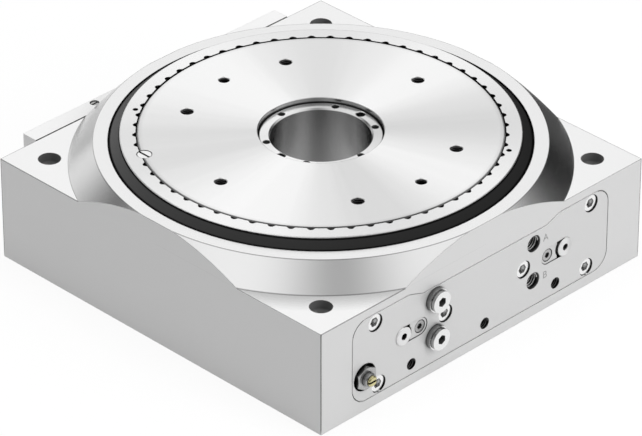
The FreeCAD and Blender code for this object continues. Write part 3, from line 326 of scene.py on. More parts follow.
def make_fine_grain():
    """Even matt grain: small noise with a broad, faint cloud in it."""
    group, given, result = make_group("fine grain", (("Scale", 900.0), ("Contrast", 0.1)),
                                      (("Tone", "NodeSocketFloat"), ("Height", "NodeSocketFloat")))
    place = group.nodes.new("ShaderNodeTexCoord").outputs["Object"]
    fine = add_node(group, "ShaderNodeTexNoise")
    join(group, place, fine.inputs["Vector"])
    join(group, given.outputs["Scale"], fine.inputs["Scale"])
    fine.inputs["Detail"].default_value = 3.0
    broad = add_node(group, "ShaderNodeTexNoise")
    join(group, place, broad.inputs["Vector"])
    broad.inputs["Scale"].default_value = CLOUD_SCALE
    mixed = plus(group, times(group, fine.outputs["Fac"], 1.0 - CLOUD_SHARE),
                 times(group, broad.outputs["Fac"], CLOUD_SHARE))
    centred = minus(group, mixed, 0.5)
    tone = plus(group, times(group, centred, given.outputs["Contrast"]), 1.0)
    join(group, tone, result.inputs["Tone"])
    join(group, fine.outputs["Fac"], result.inputs["Height"])
    return group


def make_turned_lines():
    """Rings of a turned face about the turning axis, with soft fans of painted sheen that stand in for its
    reflections.
    """
    group, given, result = make_group("turned lines", (("Lines", 2200.0), ("Contrast", 0.1), ("Fans", 0.05)),
                                      (("Tone", "NodeSocketFloat"), ("Height", "NodeSocketFloat")))
    place = group.nodes.new("ShaderNodeTexCoord").outputs["Object"]
    axes = group.nodes.new("ShaderNodeSeparateXYZ")
    join(group, place, axes.inputs[0])
    x = axes.outputs["X"]
    y = axes.outputs["Y"]
    across = plus(group, distance(group, x, y), axes.outputs["Z"])
    rings = add_node(group, "ShaderNodeTexNoise", noise_dimensions="1D")
    join(group, across, rings.inputs["W"])
    join(group, given.outputs["Lines"], rings.inputs["Scale"])
    rings.inputs["Detail"].default_value = 4.0
    angle = calculate(group, "ARCTAN2", y, x)
    streaks = add_node(group, "ShaderNodeTexNoise", noise_dimensions="1D")
    join(group, size_of(group, angle), streaks.inputs["W"])
    streaks.inputs["Scale"].default_value = 3.0
    streaks.inputs["Detail"].default_value = 4.0
    # The fans are painted sheen: lighter and darker sectors that stand in for the face's reflections
    lag = times(group, calculate(group, "COSINE", minus(group, angle, FAN_LAG_ANGLE)), FAN_LAG)
    phase = plus(group, times(group, angle, FAN_COUNT), plus(group, lag, FAN_START))
    wave = calculate(group, "SINE", phase)
    fans = plus(group, wave, minus(group, streaks.outputs["Fac"], 0.5))
    fans = plus(group, fans, times(group, calculate(group, "SINE", angle), FAN_TO_REAR))
    ring_part = times(group, minus(group, rings.outputs["Fac"], 0.5), given.outputs["Contrast"])
    fan_part = times(group, fans, given.outputs["Fans"])
    tone = plus(group, plus(group, ring_part, fan_part), 1.0)
    join(group, tone, result.inputs["Tone"])
    join(group, rings.outputs["Fac"], result.inputs["Height"])
    return group


def make_edge_tone_and_rounding():
    """A mask of the corners within a given width, which carries painted highlight or painted dark lines, and
    the normal rounded over them.
    """
    group, given, result = make_group("edge tone and rounding", (("Width", EDGE_WIDTH),),
                                      (("Mask", "NodeSocketFloat"), ("Normal", "NodeSocketVector")))
    rounded = add_node(group, "ShaderNodeBevel", samples=6)
    join(group, given.outputs["Width"], rounded.inputs["Radius"])
    flat = group.nodes.new("ShaderNodeNewGeometry")
    dot = add_node(group, "ShaderNodeVectorMath", operation="DOT_PRODUCT")
    join(group, rounded.outputs[0], dot.inputs[0])
    join(group, flat.outputs["Normal"], dot.inputs[1])
    turn = minus(group, 1.0, dot.outputs["Value"])
    edge_band = times(group, turn, 5.0, clamp=True)
    join(group, times(group, edge_band, off_the_floor(group)), result.inputs["Mask"])
    join(group, rounded.outputs[0], result.inputs["Normal"])
    return group


def make_deep_places():
    """A mask of holes, sockets, grooves and gaps that are narrow against the given reach, for painted shade.
    """
    group, given, result = make_group("deep places", (("Reach", DEEP_REACH),),
                                      (("Mask", "NodeSocketFloat"),))
    open_share = add_node(group, "ShaderNodeAmbientOcclusion", samples=8)
    join(group, given.outputs["Reach"], open_share.inputs["Distance"])
    hidden = fade(group, open_share.outputs["AO"], DEEP_FROM, DEEP_TO)
    join(group, times(group, hidden, off_the_floor(group)), result.inputs["Mask"])
    return group


fine_grain = make_fine_grain()
turned_lines = make_turned_lines()
edge_tone_and_rounding = make_edge_tone_and_rounding()
deep_places = make_deep_places()


def shade(material_name, color, metallic, roughness, pattern, bump, edge_width=EDGE_WIDTH,
          edge_light=0.12, anisotropic=0.0, specular=0.5, deep=0.85):
    """A material with its pattern in colour, roughness and height, painted highlight or painted dark lines
    on its rounded edges, and painted shade in deep places.
    """
    material = bpy.data.materials.new(material_name)
    material.use_nodes = True
    tree = new_tree(material.node_tree)
    out = add_node(tree, "ShaderNodeOutputMaterial")
    shader = add_node(tree, "ShaderNodeBsdfPrincipled")
    join(tree, shader.outputs[0], out.inputs["Surface"])
    shader.inputs["Metallic"].default_value = metallic
    shader.inputs["Specular IOR Level"].default_value = specular
    group, values = pattern
    grained = use_group(tree, group, **values)
    edge = use_group(tree, edge_tone_and_rounding, width=edge_width)
    tinted = add_node(tree, "ShaderNodeVectorMath", operation="SCALE")
    tinted.inputs[0].default_value = color
    # Painted highlight on the rounded edges where edge_light is above 0, and a painted dark line of shade
    # where it is below 0
    light = plus(tree, grained.outputs["Tone"], times(tree, edge.outputs["Mask"], edge_light))
    # Painted shade in deep places, taking off the share given by deep
    if deep:
        hidden = use_group(tree, deep_places, reach=DEEP_REACH)
        light = times(tree, light, minus(tree, 1.0, times(tree, hidden.outputs["Mask"], deep)))
    join(tree, light, tinted.inputs["Scale"])
    join(tree, tinted.outputs[0], shader.inputs["Base Color"])
    rough = times(tree, minus(tree, grained.outputs["Height"], 0.5), ROUGH_SPREAD * roughness)
    join(tree, plus(tree, rough, roughness, clamp=True), shader.inputs["Roughness"])
    relief = add_node(tree, "ShaderNodeBump")
    relief.inputs["Strength"].default_value = bump
    relief.inputs["Distance"].default_value = 0.2 * MM
    join(tree, grained.outputs["Height"], relief.inputs["Height"])
    join(tree, edge.outputs["Normal"], relief.inputs["Normal"])
    join(tree, relief.outputs[0], shader.inputs["Normal"])
    if anisotropic:
        shader.inputs["Anisotropic"].default_value = anisotropic
        tangent = add_node(tree, "ShaderNodeTangent", direction_type="RADIAL", axis="Z")
        join(tree, tangent.outputs[0], shader.inputs["Tangent"])
    return material


def find_shader(material):
    return [made for made in material.node_tree.nodes if made.type == "BSDF_PRINCIPLED"][0]


def darken(tree, shader, mask, share):
    """Takes the colour to a share of itself where the mask is 1. A share above 1 lightens it."""
    color = shader.inputs["Base Color"].links[0].from_socket
    scaled = add_node(tree, "ShaderNodeVectorMath", operation="SCALE")
    join(tree, color, scaled.inputs[0])
    join(tree, minus(tree, 1.0, times(tree, mask, 1.0 - share)), scaled.inputs["Scale"])
    join(tree, scaled.outputs[0], shader.inputs["Base Color"])


def lines(spacing, contrast, fans=0.0):
    return turned_lines, {"lines": spacing, "contrast": contrast, "fans": fans}


def grain(scale, contrast):
    return fine_grain, {"scale": scale, "contrast": contrast}


def grey(tone):
    return (tone, tone, tone)


def shade_housing():
    """Matt anodised sides, with the corner faces, the cone and the rim machined bright, and painted light
    and shade.
    """
    # Painted dark lines of shade along the rounded edges, by edge_light below 0
    material = shade("anodised housing", grey(0.78), 0.2, 0.42, grain(1500.0, 0.05), 0.05,
                     edge_width=0.6 * MM, edge_light=-0.8, deep=0.0)
    tree = material.node_tree
    shader = find_shader(material)
    x, y, z = object_axes(tree)
    radius = distance(tree, x, y)
    out_x = size_of(tree, x)
    out_y = size_of(tree, y)
    inside = below(tree, larger(tree, out_x, out_y), HALF_SIDE - HAIR)
    turned = times(tree, inside, above(tree, z, CORNER_TOP_Z - TOUCH))
    corner_top = level_with(tree, z, CORNER_TOP_Z)
    join(tree, plus(tree, times(tree, turned, 0.8), 0.2), shader.inputs["Metallic"])
    matt = shader.inputs["Roughness"].links[0].from_socket
    join(tree, plus(tree, matt, times(tree, turned, -0.2)), shader.inputs["Roughness"])
    darken(tree, shader, turned, share=1.15)
    # Painted light: the flat tops of the corners a little lighter
    darken(tree, shader, corner_top, share=1.06)
    darken_corner_holes(tree, shader, out_x, out_y, z)
    darken_housing_edges(tree, shader, x, y, z)
    # Painted shade in the narrow places behind the front cover
    behind_cover = above(tree, y, COVER_FACE_Y + COVER_DEPTH)
    hidden = use_group(tree, deep_places, reach=DEEP_REACH)
    darken(tree, shader, times(tree, hidden.outputs["Mask"], behind_cover), share=0.5)
    # Painted shade on the front corner's flat, darkest beside the foot of the cone
    front_corner = times(tree, below(tree, x, 0.0), below(tree, y, 0.0))
    near_cone = fade(tree, radius, CONE_FOOT_R + CONE_SHADE_REACH, CONE_FOOT_R)
    near_cone = times(tree, near_cone, corner_top)
    darken(tree, shader, times(tree, near_cone, front_corner), share=0.62)
    # Painted dark lines of shade at the foot of the cone and along the front of the rim's outer edge
    foot = times(tree, level_with(tree, radius, CONE_FOOT_R, 0.4 * MM), front_corner)
    rim_edge = level_with(tree, radius, RIM_R, EDGE_LINE / 2.0)
    rim_edge = times(tree, rim_edge, fade(tree, front_of(tree, x, y), 10.0 * MM, 50.0 * MM))
    darken(tree, shader, times(tree, larger(tree, foot, rim_edge), turned), share=0.6)
    # Painted shade in the groove of the seal seat
    groove = times(tree, below(tree, radius, SEAL_SEAT_R + 0.05 * MM), above(tree, z, CORNER_TOP_Z))
    darken(tree, shader, times(tree, groove, below(tree, z, RIM_TOP_Z - HAIR)), share=DARK)
    return material


def darken_corner_holes(tree, shader, out_x, out_y, z):
    """Painted shade in the corner holes, each with a band of painted light down its wall."""
    from_x = minus(tree, out_x, CORNER_HOLE_OUT)
    from_y = minus(tree, out_y, CORNER_HOLE_OUT)
    in_hole = below(tree, distance(tree, from_x, from_y), CORNER_HOLE_R + HAIR)
    bored = times(tree, in_hole, below(tree, z, CORNER_TOP_Z - 0.05 * MM))
    # Painted shade in the holes, and painted light on the lower part of their walls
    darken(tree, shader, bored, share=0.22)
    band = fade(tree, z, HOLE_BAND_Z, HOLE_BAND_Z - HOLE_BAND_REACH)
    darken(tree, shader, times(tree, bored, band), share=3.0)


def darken_housing_edges(tree, shader, x, y, z):
    """Painted dark lines of shade down the corners and along the top of the front and left sides, up to the
    cone.
    """
    corner = above(tree, plus(tree, size_of(tree, x), size_of(tree, y)), 2.0 * HALF_SIDE - 0.5 * MM)
    darken(tree, shader, times(tree, corner, off_the_floor(tree)), share=0.4)
    at_top = level_with(tree, z, CORNER_TOP_Z, EDGE_LINE)
    front_edge = times(tree, below(tree, y, EDGE_LINE / 2.0 - HALF_SIDE), at_top)
    front_edge = times(tree, front_edge, below(tree, x, -CONE_START))
    darken(tree, shader, front_edge, share=0.6)
    left_edge = times(tree, below(tree, x, EDGE_LINE / 2.0 - HALF_SIDE), at_top)
    left_edge = times(tree, left_edge, above(tree, y, CONE_START))
    darken(tree, shader, left_edge, share=0.65)


def within_cover_outline(tree, x, y, z):
    """1 inside the stepped outline of the front cover, apart from the sleeves' outer seats."""
    low_part = below(tree, z, COVER_MIDDLE_TOP_Z)
    end_part = times(tree, above(tree, size_of(tree, x), COVER_STEP_X), below(tree, z, COVER_END_TOP_Z))
    inside = larger(tree, low_part, end_part)
    for limit in (above(tree, z, COVER_BOTTOM_Z), above(tree, x, COVER_LEFT_X),
                  below(tree, x, COVER_RIGHT_X), below(tree, y, 0.0)):
        inside = times(tree, inside, limit)
    aside = minus(tree, size_of(tree, x), SLEEVE_X)
    around = distance(tree, aside, minus(tree, z, SLEEVE_Z))
    at_sleeve = times(tree, below(tree, around, SLEEVE_SEAT_R), above(tree, aside, 1.5 * MM))
    return times(tree, inside, minus(tree, 1.0, at_sleeve))


def shade_cover():
    """Anodised covers, with painted shade on the walls in the front openings and in the grub screw holes at
    the back.
    """
    material = shade("anodised cover", grey(0.74), 0.3, 0.38, grain(1800.0, 0.05), 0.05, deep=0.0)
    tree = material.node_tree
    shader = find_shader(material)
    x, y, z = object_axes(tree)
    inside = within_cover_outline(tree, x, y, z)
    depth = fade(tree, minus(tree, y, COVER_FACE_Y), 0.05 * MM, 0.3 * MM)
    walls = times(tree, inside, depth)
    # Painted shade in the narrow places of the front cover, and black painted shade on the walls of its
    # openings
    hidden = use_group(tree, deep_places, reach=DEEP_REACH)
    darken(tree, shader, times(tree, inside, hidden.outputs["Mask"]), share=0.4)
    darken(tree, shader, walls, share=BLACK)
    # Less painted shade on the walls of the damper pocket
    from_damper = distance(tree, minus(tree, x, DAMPER_X), minus(tree, z, DAMPER_Z))
    at_damper = below(tree, from_damper, DAMPER_POCKET_R)
    darken(tree, shader, times(tree, walls, at_damper), share=3.5)
    join(tree, plus(tree, times(tree, walls, 0.7), 0.3), shader.inputs["Metallic"])
    # Painted light on the front cover's walls outside its openings
    seam_wall = times(tree, minus(tree, 1.0, inside), depth)
    darken(tree, shader, times(tree, seam_wall, below(tree, y, 0.0)), share=1.5)
    # Painted shade in the grub screw holes
    from_grub = minus(tree, size_of(tree, x), GRUB_X)
    at_grub = below(tree, distance(tree, from_grub, minus(tree, y, GRUB_Y)), GRUB_HOLE_R)
    darken(tree, shader, at_grub, share=0.12)
    # Painted light on the rear cover's top, and painted shade on its inner face in the seam at the back
    rear_top = times(tree, level_with(tree, z, CORNER_TOP_Z), above(tree, y, 0.0))
    darken(tree, shader, rear_top, share=1.22)
    darken(tree, shader, level_with(tree, y, REAR_INNER_Y), share=0.12)
    return material


def shade_sleeve():
    """Turned steel, with painted shade that makes it black in the bore and dark on the side that faces the
    middle.
    """
    material = shade("turned sleeve", grey(0.86), 0.3, 0.35, grain(2400.0, 0.1), 0.05, deep=0.0)
    tree = material.node_tree
    shader = find_shader(material)
    x, y, z = object_axes(tree)
    # Painted shade: black in the bore and dark on the side that faces the middle
    aside = minus(tree, size_of(tree, x), SLEEVE_X)
    bore = below(tree, distance(tree, aside, minus(tree, z, SLEEVE_Z)), SENSOR_BORE_R)
    depth = fade(tree, minus(tree, y, COVER_FACE_Y), -0.6 * MM, 0.0)
    darken(tree, shader, times(tree, bore, depth), share=BLACK)
    side = fade(tree, size_of(tree, facing_axes(tree)["Y"]), 0.6, 0.3)
    darken(tree, shader, times(tree, side, below(tree, aside, 0.0)), share=DARK)
    # Painted shade: the outer part of the sleeve at positive x a little darker
    outer = times(tree, fade(tree, aside, 0.5 * MM, 3.5 * MM), above(tree, x, 0.0))
    darken(tree, shader, outer, share=0.8)
    return material


def shade_nut():
    """Plated nut, bright on the front face, with painted shade on the flats."""
    material = shade("plated nut", grey(0.46), 0.9, 0.28, grain(2600.0, 0.1), 0.04)
    tree = material.node_tree
    # Painted shade on the flats
    flats = fade(tree, times(tree, facing_axes(tree)["Y"], -1.0), 0.9, 0.3)
    darken(tree, find_shader(material), flats, share=0.25)
    return material


def shade_seal():
    """Moulded rubber ring, with painted light that makes it greyer towards the left corner, and a painted
    black line of shade along its outer edge.
    """
    # Painted dark lines of shade along the rounded edges, by edge_light below 0
    material = shade("moulded seal rubber", grey(0.027), 0.0, 0.36, lines(900.0, 0.25), 0.08,
                     edge_width=0.8 * MM, edge_light=-0.7, specular=0.06)
    tree = material.node_tree
    shader = find_shader(material)
    x, y = object_axes(tree)[:2]
    # Painted light: greyer towards the left corner and darker towards the front
    to_left = left_of(tree, x, y)
    lit = minus(tree, times(tree, to_left, 0.8 / SEAL_OUTER_R),
                times(tree, front_of(tree, x, y), 0.25 / SEAL_OUTER_R))
    far_left = larger(tree, divided(tree, to_left, SEAL_OUTER_R), 0.0)
    lit = plus(tree, lit, times(tree, to_power(tree, far_left, 6.0), 0.5))
    lit = calculate(tree, "EXPONENT", lit)
    darken(tree, shader, minus(tree, times(tree, lit, 1.1), 1.0), share=2.0)
    # Painted shade along the outer edge
    outer_edge = fade(tree, distance(tree, x, y), SEAL_OUTER_R - 0.8 * MM, SEAL_OUTER_R - 0.4 * MM)
    darken(tree, shader, outer_edge, share=DARK)
    return material


def shade_plug():
    """Nickel, bright on the flat front, with painted shade that darkens the turned sides and makes the
    socket black.
    """
    material = shade("nickel plated plug", grey(0.86), 1.0, 0.2, grain(2600.0, 0.05), 0.03,
                     edge_width=0.3 * MM, deep=0.3)
    tree = material.node_tree
    shader = find_shader(material)
    x, y, z = object_axes(tree)
    # Painted shade down the turned sides, deepest by the cover, with turned rings in it
    side = fade(tree, size_of(tree, facing_axes(tree)["Y"]), 0.9, 0.5)
    out = fade(tree, y, COVER_FACE_Y, PLUG_FRONT_Y)
    rings = add_node(tree, "ShaderNodeTexNoise", noise_dimensions="1D")
    join(tree, y, rings.inputs["W"])
    rings.inputs["Scale"].default_value = 2400.0
    ring_tone = times(tree, minus(tree, rings.outputs["Fac"], 0.5), 0.5)
    shaded = minus(tree, 0.98, times(tree, out, 0.5))
    shaded = plus(tree, shaded, ring_tone, clamp=True)
    darken(tree, shader, times(tree, side, shaded), share=DARK)
    # Painted shade in the socket
    from_x = plus(tree, x, PORT_X)
    rises = [size_of(tree, minus(tree, z, height)) for height in PORT_HEIGHTS]
    reach = distance(tree, from_x, smaller(tree, rises[0], rises[1]))
    depth = fade(tree, y, PLUG_FRONT_Y + HAIR, PLUG_FRONT_Y + 0.6 * MM)
    socket = times(tree, below(tree, reach, SOCKET_R), depth)
    darken(tree, shader, socket, share=0.25)
    join(tree, minus(tree, 1.0, times(tree, socket, 0.85)), shader.inputs["Metallic"])
    return material


def light_on_flank(tree, to_left, to_front):
    """Painted light on the flank of the seam, strongest at the left and the right corner."""
    left = to_power(tree, larger(tree, to_left, 0.0), 3.0)
    right = to_power(tree, larger(tree, times(tree, to_left, -1.0), 0.0), 3.0)
    lit = plus(tree, times(tree, left, 0.9), times(tree, right, 0.6))
    return plus(tree, lit, times(tree, larger(tree, to_front, 0.0), 0.12))


def darken_notches(tree, shader, x, y, radius):
    """A dark lens of painted shade in each scallop around the adjusting ring."""
    turns = times(tree, calculate(tree, "ARCTAN2", y, x), NOTCHES / (2.0 * math.pi))
    part = minus(tree, calculate(tree, "FRACT", plus(tree, turns, 0.5)), 0.5)
    bulge = minus(tree, 1.0, times(tree, times(tree, part, part), NOTCH_CURVE))
    bulge = to_power(tree, larger(tree, bulge, 0.0), 0.8)
    lip = plus(tree, times(tree, bulge, NOTCH_LIP), NOTCH_EDGE_R)
    darken(tree, shader, below(tree, radius, lip), share=0.25)


def shade_plate(material_name, fans, notches=False):
    """Fine turned faces, with painted shade in the bore, holes, seam and notches, and painted light on the
    seam's flank from the sides.
    """
    material = shade(material_name, grey(0.89), 0.92, 0.24, lines(3400.0, 0.05, fans), 0.04,
                     anisotropic=0.75, deep=0.7)
    tree = material.node_tree
    shader = find_shader(material)
    x, y, z = object_axes(tree)
    radius = distance(tree, x, y)
    depth = minus(tree, PLATE_TOP_Z, z)
    # Painted shade in deep places, on the seam's flank and in the hole walls, with painted light on the
    # flank from the sides
    near_seam = below(tree, size_of(tree, minus(tree, radius, SEAM_R)), SEAM_REACH)
    flank = times(tree, above(tree, depth, 0.02 * MM), fade(tree, depth, -0.3 * MM, 0.2 * MM))
    flank = times(tree, near_seam, flank)
    at_dowel = times(tree, level_with(tree, radius, PITCH_R, DOWEL_REACH),
                     level_with(tree, x, 0.0, DOWEL_REACH))
    past_bevel = minus(tree, depth, times(tree, at_dowel, DOWEL_BEVEL))
    wall = times(tree, fade(tree, past_bevel, 0.4 * MM, 1.0 * MM), minus(tree, 1.0, near_seam))
    wall = times(tree, wall, above(tree, radius, PLATE_BORE_EDGE_R))
    shaded = 0.98
    if not notches:
        to_left = divided(tree, left_of(tree, x, y), radius)
        to_front = divided(tree, front_of(tree, x, y), radius)
        lit = light_on_flank(tree, to_left, to_front)
        shaded = minus(tree, shaded, lit)
        bright = minus(tree, 1.0, times(tree, lit, flank), clamp=True)
        join(tree, times(tree, bright, 0.92), shader.inputs["Metallic"])
        # Painted shade in a band along the plate's front edge
        soft_edge = fade(tree, radius, SEAM_R - 1.6 * MM, SEAM_R - 0.4 * MM)
        soft_edge = times(tree, soft_edge, fade(tree, to_front, -0.3, 0.3))
        darken(tree, shader, times(tree, soft_edge, below(tree, radius, SEAM_R)), share=0.35)
    darken(tree, shader, larger(tree, times(tree, flank, shaded), wall), share=DARK)
    rim = fade(tree, radius, SEAM_R - 3.5 * MM, SEAM_R - 1.0 * MM)
    darken(tree, shader, times(tree, rim, below(tree, radius, SEAM_R)), share=0.86)
    # Painted shade in the bore
    bore = times(tree, below(tree, radius, PLATE_BORE_EDGE_R), fade(tree, depth, 0.0, 0.6 * MM))
    darken(tree, shader, bore, share=0.55)
    if notches:
        darken_notches(tree, shader, x, y, radius)
    return material


def shade_thread(material_name, tone, facing, sign):
    """Threads with painted shade on the flanks that face into the hole, so that the flank facing out of it
    stays light.
    """
    material = shade(material_name, grey(tone), 0.3, 0.4, grain(2400.0, 0.1), 0.03, deep=0.0)
    tree = material.node_tree
    out = times(tree, facing_axes(tree)[facing], sign)
    darken(tree, find_shader(material), fade(tree, out, 0.6, 0.3), share=BLACK)
    return material


def shade_hub():
    """Bright turned end, lighter towards the left by painted light, with a bore in painted shade that is
    lighter towards the left and the right corner.
    """
    material = shade("turned hub", grey(0.81), 1.0, 0.2, lines(2600.0, 0.1, 0.08), 0.06)
    tree = material.node_tree
    shader = find_shader(material)
    x, y, z = object_axes(tree)
    radius = distance(tree, x, y)
    bore = fade(tree, minus(tree, HUB_TOP_Z, z), 0.6 * MM, 1.4 * MM)
    to_left_side = divided(tree, minus(tree, times(tree, y, 0.17), times(tree, x, 0.98)), radius)
    to_front = divided(tree, plus(tree, x, y), times(tree, radius, math.sqrt(2.0)))
    aside = minus(tree, 1.0, times(tree, to_front, to_front))
    # Painted light towards the left and painted shade towards the right; painted shade in the bore, lighter
    # towards the left and the right corner
    darken(tree, shader, to_left_side, share=1.14)
    darken(tree, shader, times(tree, bore, aside), share=1.75)
    darken(tree, shader, bore, share=0.51)
    return material


bright_steel = {"metallic": 0.95, "roughness": 0.2, "pattern": grain(3000.0, 0.1), "bump": 0.05}
finishes = {
    "housing_aluminium": shade_housing(),
    "cover_aluminium": shade_cover(),
    "plate_steel": shade_plate("turned plate", fans=0.135),
    "hub_steel": shade_hub(),
    "bearing_steel": shade("ground bearing steel", grey(0.62), 1.0, 0.15, lines(4000.0, 0.06), 0.04),
    "hardened_steel": shade("hardened steel", grey(0.45), 1.0, 0.3, grain(2400.0, 0.12), 0.05),
    "piston_steel": shade("ground piston", grey(0.58), 1.0, 0.25, grain(2400.0, 0.1), 0.05),
    "screw_steel": shade("zinc plated screw", grey(0.92), edge_width=0.3 * MM, **bright_steel),
    "plug_nickel": shade_plug(),
    "damper_steel": shade("dark plated damper", grey(0.36), 1.0, 0.26, grain(2600.0, 0.1), 0.04),
    # Painted dark lines of shade along the rounded edges of the brass
    "adjuster_brass": shade("turned brass", (0.68, 0.62, 0.34), 1.0, 0.2, grain(2200.0, 0.1), 0.04,
                            edge_width=0.7 * MM, edge_light=-0.75),
    "sleeve_steel": shade_sleeve(),
    "seal_rubber": shade_seal(),
    "gasket_rubber": shade("gasket rubber", grey(0.03), 0.0, 0.6, grain(1200.0, 0.3), 0.1),
    "bearing_bronze": shade("sintered bronze", (0.66, 0.50, 0.28), 1.0, 0.4, grain(1600.0, 0.25), 0.12),
    "guide_plastic": shade("guide plastic", (0.16, 0.14, 0.12), 0.0, 0.5, grain(1400.0, 0.15), 0.06),
    "spring_steel": shade("drawn spring wire", grey(0.50), 1.0, 0.3, grain(2600.0, 0.15), 0.05),
}
# Painted shade in the clamps' narrow places
matt_clamp = shade("matt clamp", grey(0.72), 0.3, 0.38, grain(2400.0, 0.1), 0.05, deep=0.9)
own_finishes = {
    "adjusting_ring": shade_plate("turned ring", fans=0.09, notches=True),
    # Painted dark outline of shade round the locking screw
    "ring_locking_screw": shade("outlined screw", grey(0.92), edge_width=0.5 * MM, edge_light=-0.95,
                                **bright_steel),
    "rear_cover_gasket": shade("grey gasket", grey(0.3), 0.0, 0.6, grain(1200.0, 0.2), 0.1),
    # Painted dark lines of shade along the grub screws' edges
    "rear_cover_grub_screws": shade("grub screw steel", grey(0.5), 0.9, 0.3, grain(2600.0, 0.1), 0.03,
                                    edge_width=0.7 * MM, edge_light=-0.95),
    "damper_lock_nut": shade_nut(),
    "sleeve_clamp_left": matt_clamp,
    "sleeve_clamp_right": matt_clamp,
    # Painted dark lines of shade along the clamp screws' edges
    "sleeve_clamp_screws": shade("dull clamp screw", grey(0.5), 0.9, 0.35, grain(2600.0, 0.1), 0.03,
                                 edge_width=0.6 * MM, edge_light=-0.7),
}
# The dark tones of the cover and plate threads are painted shade in their holes
port_thread = shade_thread("bright port thread", 0.75, "Y", -1.0)
cover_thread = shade_thread("cover thread in painted shade", 0.15, "Y", -1.0)
plate_thread = shade_thread("plate thread in painted shade", 0.08, "Z", 1.0)
ink = shade("grey engraving", grey(0.42), 0.0, 0.6, grain(2000.0, 0.1), 0.02)


def dress_nodes():
    """Gives each CAD node the finish of its slot, or its own where it has one."""
    for entry in frame["record"]["subparts"]:
        node = frame["nodes"][entry["node"]]
        for slot in node.material_slots:
            slot.material = own_finishes.get(entry["node"], finishes[entry["material_slot"]])


def deselect():
    if bpy.context.object and bpy.context.object.mode != "OBJECT":
        bpy.ops.object.mode_set(mode="OBJECT")
    bpy.ops.object.select_all(action="DESELECT")


def settle(piece, turn, place):
    """Turns and moves a piece made at the origin, with its place going into its mesh."""
    deselect()
    piece.select_set(True)
    bpy.context.view_layer.objects.active = piece
    piece.rotation_euler = turn
    piece.location = place
    bpy.ops.object.transform_apply(location=True, rotation=True, scale=True)
    piece.select_set(False)


def finish_piece(piece, name, body, material):
    """Names a piece, gives it its material and smooth faces, and puts it on its body."""
    piece.name = name
    piece.data.name = name
    piece.data.materials.clear()
    piece.data.materials.append(material)
    deselect()
    piece.select_set(True)
    bpy.context.view_layer.objects.active = piece
    bpy.ops.object.shade_smooth_by_angle(angle=SMOOTH_ANGLE)
    piece.select_set(False)
    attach(piece, body)


def thread_ridge(core_r, pitch, turns, height, steps=40):
    """The ridge of an inner thread round Z, from z = 0 down, standing in from the core radius."""
    deselect()
    bpy.ops.mesh.primitive_circle_add(vertices=4, radius=height, fill_type="NOTHING")
    ridge = bpy.context.object
    foot_r = core_r + THREAD_FOOT
    crest_r = core_r - height
    outline = ((foot_r, 0.18 * pitch), (crest_r, 0.06 * pitch),
               (crest_r, -0.06 * pitch), (foot_r, -0.3 * pitch))
    for vertex, (r, z) in zip(ridge.data.vertices, outline):
        vertex.co = (r, 0.0, z)
    wind = ridge.modifiers.new("wind", "SCREW")
    wind.axis = "Z"
    wind.angle = 2.0 * math.pi
    wind.screw_offset = -pitch
    wind.iterations = turns
    wind.steps = steps
    wind.render_steps = steps
    wind.use_merge_vertices = False
    bpy.ops.object.modifier_apply(modifier=wind.name)
    bpy.ops.object.mode_set(mode="EDIT")
    bpy.ops.mesh.select_mode(type="EDGE")
    bpy.ops.mesh.select_all(action="DESELECT")
    bpy.ops.mesh.select_non_manifold(extend=False, use_wire=False, use_boundary=True, use_multi_face=False,
                                     use_non_contiguous=False, use_verts=False)
    bpy.ops.mesh.fill()
    bpy.ops.mesh.select_all(action="SELECT")
    bpy.ops.mesh.normals_make_consistent(inside=False)
    bpy.ops.object.mode_set(mode="OBJECT")
    return ridge


def join_copies(first, places, turn=(0.0, 0.0, 0.0)):
    """Copies of a piece at each place, joined to one object, with the first among them."""
    made = []
    for place in places[1:]:
        copy = first.copy()
        copy.data = first.data.copy()
        bpy.context.scene.collection.objects.link(copy)
        settle(copy, turn, place)
        made.append(copy)
    settle(first, turn, places[0])
    deselect()
    for piece in made:
        piece.select_set(True)
    first.select_set(True)
    bpy.context.view_layer.objects.active = first
    bpy.ops.object.join()
    return first


def hole_circle(pitch_r, first_angle, z):
    """Places of six holes, 60 degrees apart, on a circle about the turning axis."""
    angles = [math.radians(first_angle + 60 * step) for step in range(6)]
    return [(pitch_r * math.cos(angle), pitch_r * math.sin(angle), z) for angle in angles]


def add_threads():
    """Ridges in the tapped holes, each starting a little below the mouth of its hole."""
    port = thread_ridge(core_r=4.4 * MM, pitch=1.5 * MM, turns=5, height=0.5 * MM)
    places = [(PORT_X, COVER_FACE_Y + PORT_THREAD_IN, height) for height in PORT_HEIGHTS]
    finish_piece(join_copies(port, places, TO_FRONT), "air_port_threads", "housing_body",
                 port_thread)
    tapped = thread_ridge(core_r=3.4 * MM, pitch=1.25 * MM, turns=6, height=0.4 * MM)
    places = [(x, COVER_FACE_Y + COVER_THREAD_IN, z) for x, z in COVER_HOLES]
    finish_piece(join_copies(tapped, places, TO_FRONT), "cover_hole_threads", "housing_body",
                 cover_thread)
    plate = thread_ridge(core_r=3.4 * MM, pitch=1.25 * MM, turns=8, height=0.4 * MM)
    places = hole_circle(PITCH_R, 0, PLATE_TOP_Z - PLATE_THREAD_IN)
    finish_piece(join_copies(plate, places), "plate_hole_threads", "table", plate_thread)
    hub = thread_ridge(core_r=2.1 * MM, pitch=0.8 * MM, turns=10, height=0.26 * MM, steps=24)
    places = hole_circle(HUB_PITCH_R, 30, HUB_TOP_Z - HUB_THREAD_IN)
    finish_piece(join_copies(hub, places), "hub_hole_threads", "housing_body", plate_thread)


